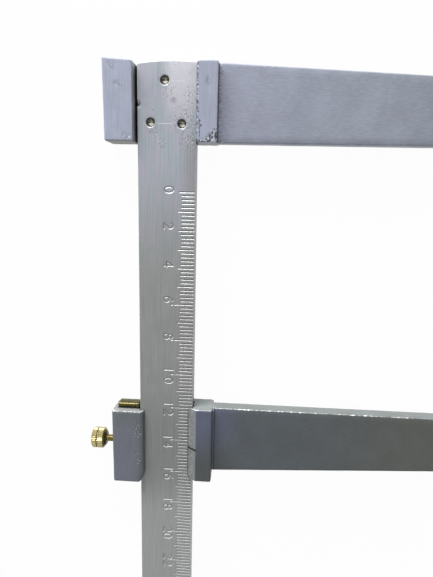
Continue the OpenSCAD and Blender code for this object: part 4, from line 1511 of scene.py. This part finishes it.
def slider_details(tree, where, tone):
    """Flecks on the bevel, scuffs on the cheek, the index line, and painted shade by the arm, under the gib
    and at the boss.
    """
    above_beam = slope(tree, where, UPWARDS, LIP_Z - 0.1, LIP_Z + 0.2)
    flecks = both(tree, band(tree, where, ACROSS, READING_LIP_X + 1.6, 1.4, 0.8), above_beam)
    tone = flakes(tree, where, tone, flecks, cell=1.6, dark=0.2, light=0.12, move=(2, 9, 4))
    scuffs = spots(tree, where, CASTING_TOP, SLIDER_SCUFFS)
    tone = flakes(tree, where, tone, scuffs, cell=1.0, dark=0.4, light=0.3, move=(6, 1, 3))
    tone = lay(tree, tone, index_line(tree, where), INDEX_BLACK)
    # Painted shade: a dark line in the crease beside the shoulder.
    crease = both(tree, band(tree, where, ACROSS, SLIDER_BOSS + SHOULDER_WIDTH, 0.18, 0.2),
                  slope(tree, where, UPWARDS, 11.2, 11.8), slope(tree, where, UPWARDS, 13.4, 12.9))
    tone = lay(tree, tone, crease, DIRT_AND_PAINTED_SHADE, 0.8)
    # Painted shade, with some grime, on the cheek's end under the gib.
    shade_under_gib = both(tree, mesh_value(tree, "filed"), slope(tree, where, ACROSS, -15.0, -15.6),
                     slope(tree, where, ACROSS, -29.0, -28.0), slope(tree, where, UPWARDS, 12.2, 11.4))
    tone = lay(tree, tone, shade_under_gib, DIRT_AND_PAINTED_SHADE, 0.95)
    # Painted shade: a dark line at the foot of the boss's step.
    root = both(tree, band(tree, where, ACROSS, SLIDER_BOSS + 0.05, 0.12, 0.2),
                slope(tree, where, UPWARDS, 12.8, 13.0), slope(tree, where, UPWARDS, 15.2, 14.4))
    return lay(tree, tone, root, DIRT_AND_PAINTED_SHADE, 0.7)


SLIDER_PAINT = casting_paint("sliding_jaw_paint", (0.12, 0.13, 0.16), 0.45, slider_tone, slider_filed_and_painted_light,
                             (0.27, 0.285, 0.28), slider_details)
place_piece(SLIDING_JAW, "sliding_jaw", SLIDER_PAINT)

# %% [markdown]
# The gib and the clamp screw are brass. Brass goes brown in clouds and stays bright where hands and
# parts rub it, so one finish serves both: its fine lines run along the rolled strip or round the turned
# screw. Beside the beam the gib is darkened by old oil and by painted shade of the gap.

# %% Brass finish
GIB_YELLOW = (0.15, 0.13, 0.045)
GIB_TARNISH = (0.06, 0.052, 0.022)
GIB_PALE = (0.5, 0.47, 0.24)
CLAMP_YELLOW = (0.40, 0.35, 0.165)
CLAMP_TARNISH = (0.25, 0.2, 0.085)
CLAMP_PALE = (0.56, 0.51, 0.3)
BRASS_ROUGHNESS = 0.34


def brass_finish(name, colour, tarnish, pale, tarnish_share, line_size, dark_end=None):
    """Brass with fine lines along one direction, brown tarnish in clouds and bright worn edges.

    Close to dark_end, a place along x where it rubs on the beam, oil, dirt and painted shade of the gap
    blacken it.
    """
    material, tree, shader, where = new_finish(name, colour, 0.95, BRASS_ROUGHNESS)
    cloud = noise(tree, where, (3, 3, 3), detail=4, roughness=0.6)
    lines = noise(tree, where, line_size, detail=2)
    tone = mix(tree, remap(tree, cloud, 0.35, 0.75, 0.0, tarnish_share), colour, tarnish)
    tone = lay(tree, tone, remap(tree, lines, 0.35, 0.75, 0.0, 0.25), tarnish)
    wear = mesh_value(tree, "wear")
    tone = lay(tree, tone, remap(tree, wear, 0.35, 0.95, 0.0, 0.95), pale)
    tone = lay(tree, tone, remap(tree, wear, -0.9, -0.1, 0.9, 0.0), tuple(0.3 * c for c in tarnish))
    if dark_end is not None:
        # Oil and painted shade of the gap beside the beam darken the gib's end.
        tone = lay(tree, tone, slope(tree, where, ACROSS, dark_end - 1.6, dark_end - 0.6), DIRT_AND_PAINTED_SHADE, 0.9)
    rough = remap(tree, cloud, 0.3, 0.7, BRASS_ROUGHNESS - 0.06, BRASS_ROUGHNESS + 0.1)
    wire(tree, shader, Base_Color=tone, Roughness=rough)
    bump(tree, shader, [(lines, 0.012), (cloud, 0.03)])
    return material


GIB_BRASS = brass_finish("gib_brass", GIB_YELLOW, GIB_TARNISH, GIB_PALE, 0.8, (6, 6, 0.25), GIB_HIGH[0])
CLAMP_BRASS = brass_finish("clamp_brass", CLAMP_YELLOW, CLAMP_TARNISH, CLAMP_PALE, 0.5, (0.2, 4, 4))
print("brass finishes:", GIB_BRASS.name, CLAMP_BRASS.name)

# %% [markdown]
# The gib is a strip of springy brass with both ends bent over the cheek. It could be a rectangle that
# is carried along a bent path. But seen from above the strip is a U with round corners, so the same
# plate function that makes the arms makes it too, with a finer net of points.

# %% Gib
GIB_THICK = 2.2
GIB_SHORTER = 1.0
GIB_CORNER = 1.0
GIB_BEND = 0.8
GIB_TIP = 0.4
GIB_EDGE = 0.3
GIB_GRAIN = (0.02, 3, 0.05, 1.2, 55)


def gib():
    """A U-shaped outline with round corners, rolled in at both faces. Its ends stop short of the solid's."""
    x0, x1 = GIB_LOW[0] + GIB_SHORTER, GIB_HIGH[0]
    y0, y1 = GIB_LOW[1], GIB_HIGH[1]
    inner = x1 - GIB_THICK
    corners = [(x0, y0), (x1, y0), (x1, y1), (x0, y1), (x0, y1 - GIB_THICK), (inner, y1 - GIB_THICK),
               (inner, y0 + GIB_THICK), (x0, y0 + GIB_THICK)]
    radii = [GIB_CORNER] * 4 + [GIB_TIP, GIB_BEND, GIB_BEND, GIB_TIP]
    shell = Shell()
    add_arm(shell, corners, radii, GIB_LOW[2], GIB_HIGH[2], GIB_EDGE, worn=(0.75, 0.75), far=1.5, net=0.7)
    thing = shell.build("gib_strip_brass", sharp=40)
    roughen(thing, *GIB_GRAIN)
    return thing


GIB = gib()
place_piece(GIB, "gib", GIB_BRASS)

# %% [markdown]
# The clamp screw is turned from one bar. Its radius is a function of the place along the axis and of
# the angle round it: a groove and a cone in the head, a row of ridges where the knurl is rolled on,
# and a helix for the thread, whose phase moves on by one turn for each pitch.

# %% Clamp screw
HEAD_LENGTH = 8.2
KNURLS = 32
KNURL_DEPTH = 0.42
GROOVE_WIDTH = 0.45
THREAD_PITCH = 0.7
THREAD_DEPTH = 0.42
HEAD_TURN_POINTS = KNURLS * 6
SHANK_RADIUS = 2.0
SHANK_TURN_POINTS = 40
ROWS_PER_PITCH = 8
TIP_LENGTH = 0.5


def triangle(phase):
    """0 at whole numbers and 1 halfway between them, in straight lines."""
    return 1 - np.abs(2 * (phase % 1.0) - 1)


def turned(shell, along, radius, count, wear):
    """Rings of a turned surface round the screw's axis; radius and wear have a row for each place."""
    turn = np.arange(count) * 2 * np.pi / count
    points = np.stack([np.broadcast_to(along[:, None], radius.shape), CLAMP_Y + radius * np.cos(turn),
                       CLAMP_Z + radius * np.sin(turn)], -1)
    shell.add(points, ring_faces(len(along), count), wear)
    return points


def fan(count, other_way=False):
    """Triangles that close a ring of count points onto the point that follows them."""
    here = np.arange(count)
    after = (here + 1) % count
    first, second = (after, here) if other_way else (here, after)
    return np.stack([first, second, np.full(count, count)], 1)


def head_profile(start, face, full):
    """The head's profile, from its outer end to its inner face: place, radius, share of knurl, and wear."""
    collar = SHANK_RADIUS + 1.5
    groove = start + HEAD_LENGTH / 3 + 0.2
    cone = face - 1.5
    return np.array([
        (start, 4.9, 0, 0.2), (start + 0.02, full - 1.1, 0, 0.3), (start + 0.12, full - 0.75, 0.2, 0.5),
        (start + 0.45, full - 0.2, 0.7, 0.3), (start + 0.75, full, 1, 0), (groove - 0.25, full, 1, 0),
        (groove - 0.05, full - 0.15, 0.7, 0), (groove, full - 0.4, 0, -0.4), (groove, full - 0.8, 0, -0.8),
        (groove + GROOVE_WIDTH, full - 0.8, 0, -0.8), (groove + GROOVE_WIDTH, full - 0.4, 0, -0.4),
        (groove + GROOVE_WIDTH + 0.05, full - 0.15, 0.7, 0), (groove + GROOVE_WIDTH + 0.25, full, 1, 0),
        (cone - 0.35, full, 1, 0), (cone - 0.1, full - 0.1, 0.8, 0.4), (cone + 0.1, full - 0.45, 0.3, 0.5),
        (cone + 0.3, full - 0.75, 0.1, -0.5), (face - 0.12, collar + 0.2, 0, -0.7), (face, collar, 0, -0.7),
    ])


def clamp_screw():
    """A head with a knurl, a helical thread and a cone tip, closed where they meet.

    The head's radius is profile - depth * share * (1 - ridge), where ridge runs KNURLS times round it. The
    thread's is shank - depth * (1 - crest), where crest is a triangle wave of place / pitch - turns.
    """
    shell = Shell()
    start, tip = CLAMP_LOW[0], CLAMP_HIGH[0]
    face = start + HEAD_LENGTH
    profile = head_profile(start, face, (CLAMP_HIGH[2] - CLAMP_LOW[2]) / 2)
    turn = np.arange(HEAD_TURN_POINTS) / HEAD_TURN_POINTS
    ridge = triangle(turn * KNURLS)[None] ** 0.8
    along, radius, mask, worn = profile.T
    radius = radius[:, None] - KNURL_DEPTH * mask[:, None] * (1 - ridge)
    wear = worn[:, None] + mask[:, None] * (1.5 * ridge - 0.7)
    head = turned(shell, along, radius, HEAD_TURN_POINTS, wear)
    end = [(start + 0.15, CLAMP_Y, CLAMP_Z)]
    shell.add(np.concatenate([head[0], end]), fan(HEAD_TURN_POINTS), 0.0)

    rows = int((tip - TIP_LENGTH - face) / (THREAD_PITCH / ROWS_PER_PITCH))
    along = np.linspace(face, tip - TIP_LENGTH, rows)
    turn = np.arange(SHANK_TURN_POINTS) / SHANK_TURN_POINTS
    crest = np.clip(1.25 * triangle(along[:, None] / THREAD_PITCH - turn[None]), 0, 1)
    fade = np.clip((along - face) / 0.8, 0, 1)[:, None]
    radius = SHANK_RADIUS - THREAD_DEPTH * (1 - crest * fade)
    thread = turned(shell, along, radius, SHANK_TURN_POINTS, 1.0 * crest * fade - 0.6)
    tip_rings = np.array([(tip - 0.3, 1.35), (tip - 0.05, 0.9)])
    nose_along = np.r_[along[-1], tip_rings[:, 0]]
    nose_radius = np.vstack([radius[-1:], np.repeat(tip_rings[:, 1:], SHANK_TURN_POINTS, 1)])
    nose = turned(shell, nose_along, nose_radius, SHANK_TURN_POINTS, 0.0)
    end = [(tip, CLAMP_Y, CLAMP_Z)]
    shell.add(np.concatenate([nose[-1], end]), fan(SHANK_TURN_POINTS, other_way=True), 0.0)

    outer, inner = head[-1][:, 1:], thread[0][:, 1:]
    edges = np.concatenate([ring_edges(HEAD_TURN_POINTS), ring_edges(SHANK_TURN_POINTS, HEAD_TURN_POINTS)])
    every = np.concatenate([outer, inner])
    washer = np.column_stack([np.full(len(every), face), every])
    shell.add(washer, fill(every, edges, outer, [inner]), -0.7)
    return shell.build("clamp_screw_brass", sharp=32)


CLAMP = clamp_screw()
place_piece(CLAMP, "clamp_screw", CLAMP_BRASS)

# %% [markdown]
# The slotted screws are small and sit deep in the beam, and their solids already have the right shape.
# They keep the frame's own meshes and only get a finish: dull steel with brown dirt from the hole, a
# dark ring round the head as grime and painted shade, and a painted highlight on one side of the head.

# %% Screw finish
SCREW_FACE_Z = box_mm("jaw_screw_upper")[1][2]
STEEL = (0.14, 0.138, 0.105)
BROWN_STEEL = (0.06, 0.056, 0.04)
HOLE_GRIME_AND_SHADE = (0.012, 0.012, 0.01)
PAINTED_HIGHLIGHT_STEEL = (0.8, 0.78, 0.68)


def screw_finish():
    """Dull olive-brown steel, a dark ring of grime and painted shade where the head meets the hole's wall,
    and a painted highlight on one side of the head.
    """
    material, tree, shader, where = new_finish("dull_steel", (0.12, 0.115, 0.085), 0.35, 0.42)
    cloud = noise(tree, where, (0.9, 0.9, 0.9), detail=4, roughness=0.6)
    scratch = noise(tree, where, (0.08, 2, 2), detail=2)
    tone = mix(tree, remap(tree, cloud, 0.35, 0.62), STEEL, BROWN_STEEL)
    tone = shaded(tree, tone, remap(tree, scratch, 0.3, 0.7, 0.9, 1.15))
    for x, y, _ in SCREWS.values():
        axis_point = (x * MM, y * MM, 0)
        off_axis = add(tree, "VectorMath", {0: where, 1: axis_point}, operation="SUBTRACT").outputs["Vector"]
        flat = add(tree, "VectorMath", {0: off_axis, 1: (1, 1, 0)}, operation="MULTIPLY").outputs["Vector"]
        gap = add(tree, "VectorMath", {0: flat}, operation="LENGTH").outputs["Value"]
        # Grime and painted shade: a dark ring where the head meets the hole's wall.
        ring = both(tree, remap(tree, gap, 1.5 * MM, 1.85 * MM), remap(tree, gap, 2.6 * MM, 2.4 * MM))
        tone = lay(tree, tone, ring, HOLE_GRIME_AND_SHADE, 0.9)
        # Painted highlight: a pale spot on one side of each head, frayed by noise.
        worn = spot(tree, where, (x + 0.4, y - 0.5, SCREW_FACE_Z), 0.8, 0.7)
        tone = lay(tree, tone, both(tree, worn, remap(tree, cloud, 0.4, 0.48)), PAINTED_HIGHLIGHT_STEEL, 0.9)
    wire(tree, shader, Base_Color=tone, Roughness=remap(tree, cloud, 0.3, 0.7, 0.34, 0.55))
    bump(tree, shader, [(cloud, 0.03), (scratch, 0.01)])
    return material


SCREW_FINISH = screw_finish()
for name in SCREWS:
    solid = frame["nodes"][name]
    solid.data.materials.clear()
    solid.data.materials.append(SCREW_FINISH)
    print(name, "keeps its solid, at", SCREWS[name].round(2))

# %% [markdown]
# The floor is a plain pale sheet. The camera sees it nearly white, as in the photograph, while a share
# of plain diffuse white keeps the shadow. The world is white to the camera, to reflections and through
# glass, but lights the metal only softly. One broad lamp stands beyond the head of the beam.

# %% Stage and light
AMBIENT = 0.34
AMBIENT_TONE = (0.96, 0.98, 1.0, 1)
FLOOR_TONE = (0.8, 0.8, 0.8, 1)
GLOW_SHARE = 0.97
FLOOR_SIZE = 6.0
WHITE = (1.0, 1.0, 1.0, 1.0)


def seen_directly(tree):
    """1 for rays that the camera, a reflection or a glass surface sends, 0 for soft bounce light."""
    path = add(tree, "LightPath").outputs
    seen = sums(tree, "MAXIMUM", path["Is Camera Ray"], path["Is Glossy Ray"])
    return sums(tree, "MAXIMUM", seen, path["Is Transmission Ray"])


def floor():
    """A large sheet at z = 0, of mixed matt and glowing white."""
    size = FLOOR_SIZE
    mesh = bpy.data.meshes.new("floor")
    corners = [(-size, -size, 0), (size, -size, 0), (size, size, 0), (-size, size, 0)]
    mesh.from_pydata(corners, [], [(0, 1, 2, 3)])
    thing = bpy.data.objects.new("floor", mesh)
    bpy.context.collection.objects.link(thing)
    material = bpy.data.materials.new("pale_floor")
    material.use_nodes = True
    tree = material.node_tree
    tree.nodes.clear()
    matt = add(tree, "BsdfDiffuse", {"Color": FLOOR_TONE}).outputs[0]
    glow = add(tree, "Emission", {"Color": WHITE, "Strength": 1.0}).outputs[0]
    share = sums(tree, "MULTIPLY", seen_directly(tree), GLOW_SHARE)
    surface = add(tree, "MixShader", {0: share, 1: matt, 2: glow}).outputs[0]
    add(tree, "OutputMaterial", {"Surface": surface})
    mesh.materials.append(material)
    thing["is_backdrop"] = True


def world():
    """Soft light for the metal, and plain white for the camera and for reflections."""
    made = bpy.data.worlds.new("studio")
    bpy.context.scene.world = made
    made.use_nodes = True
    tree = made.node_tree
    tree.nodes.clear()
    soft = add(tree, "Background", {"Color": AMBIENT_TONE, "Strength": AMBIENT}).outputs[0]
    white = add(tree, "Background", {"Color": WHITE, "Strength": 1.0}).outputs[0]
    sky = add(tree, "MixShader", {0: seen_directly(tree), 1: soft, 2: white}).outputs[0]
    add(tree, "OutputWorld", {"Surface": sky})


def lamp(name, place, target, size, power, colour):
    """A rectangular lamp that faces its target, with places and sizes in metres and its power in watts."""
    data = bpy.data.lights.new(name, "AREA")
    data.shape = "RECTANGLE"
    data.size, data.size_y = size
    data.energy = power
    data.color = colour
    thing = bpy.data.objects.new(name, data)
    thing.location = place
    thing.rotation_mode = "QUATERNION"
    thing.rotation_quaternion = (Vector(target) - Vector(place)).to_track_quat("-Z", "Y")
    bpy.context.collection.objects.link(thing)


floor()
world()
lamp("window", (-0.44, 1.23, 0.43), (0.05, -0.12, 0), (1.2, 0.5), power=35.5, colour=(1.0, 0.99, 0.97))
lamp("ceiling", (-0.3, 0.1, 1.3), (0.05, -0.15, 0), (0.9, 0.9), power=1.5, colour=(0.95, 0.98, 1.0))
scene = bpy.context.scene
scene.view_settings.view_transform = "Standard"

# %% Sizes and finish
visual_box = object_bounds()
boxes = {"cad": [list(corner) for corner in cad_box], "visual": [list(corner) for corner in visual_box]}
print("box of the solids", boxes["cad"])
print("box of the dressed model", boxes["visual"])
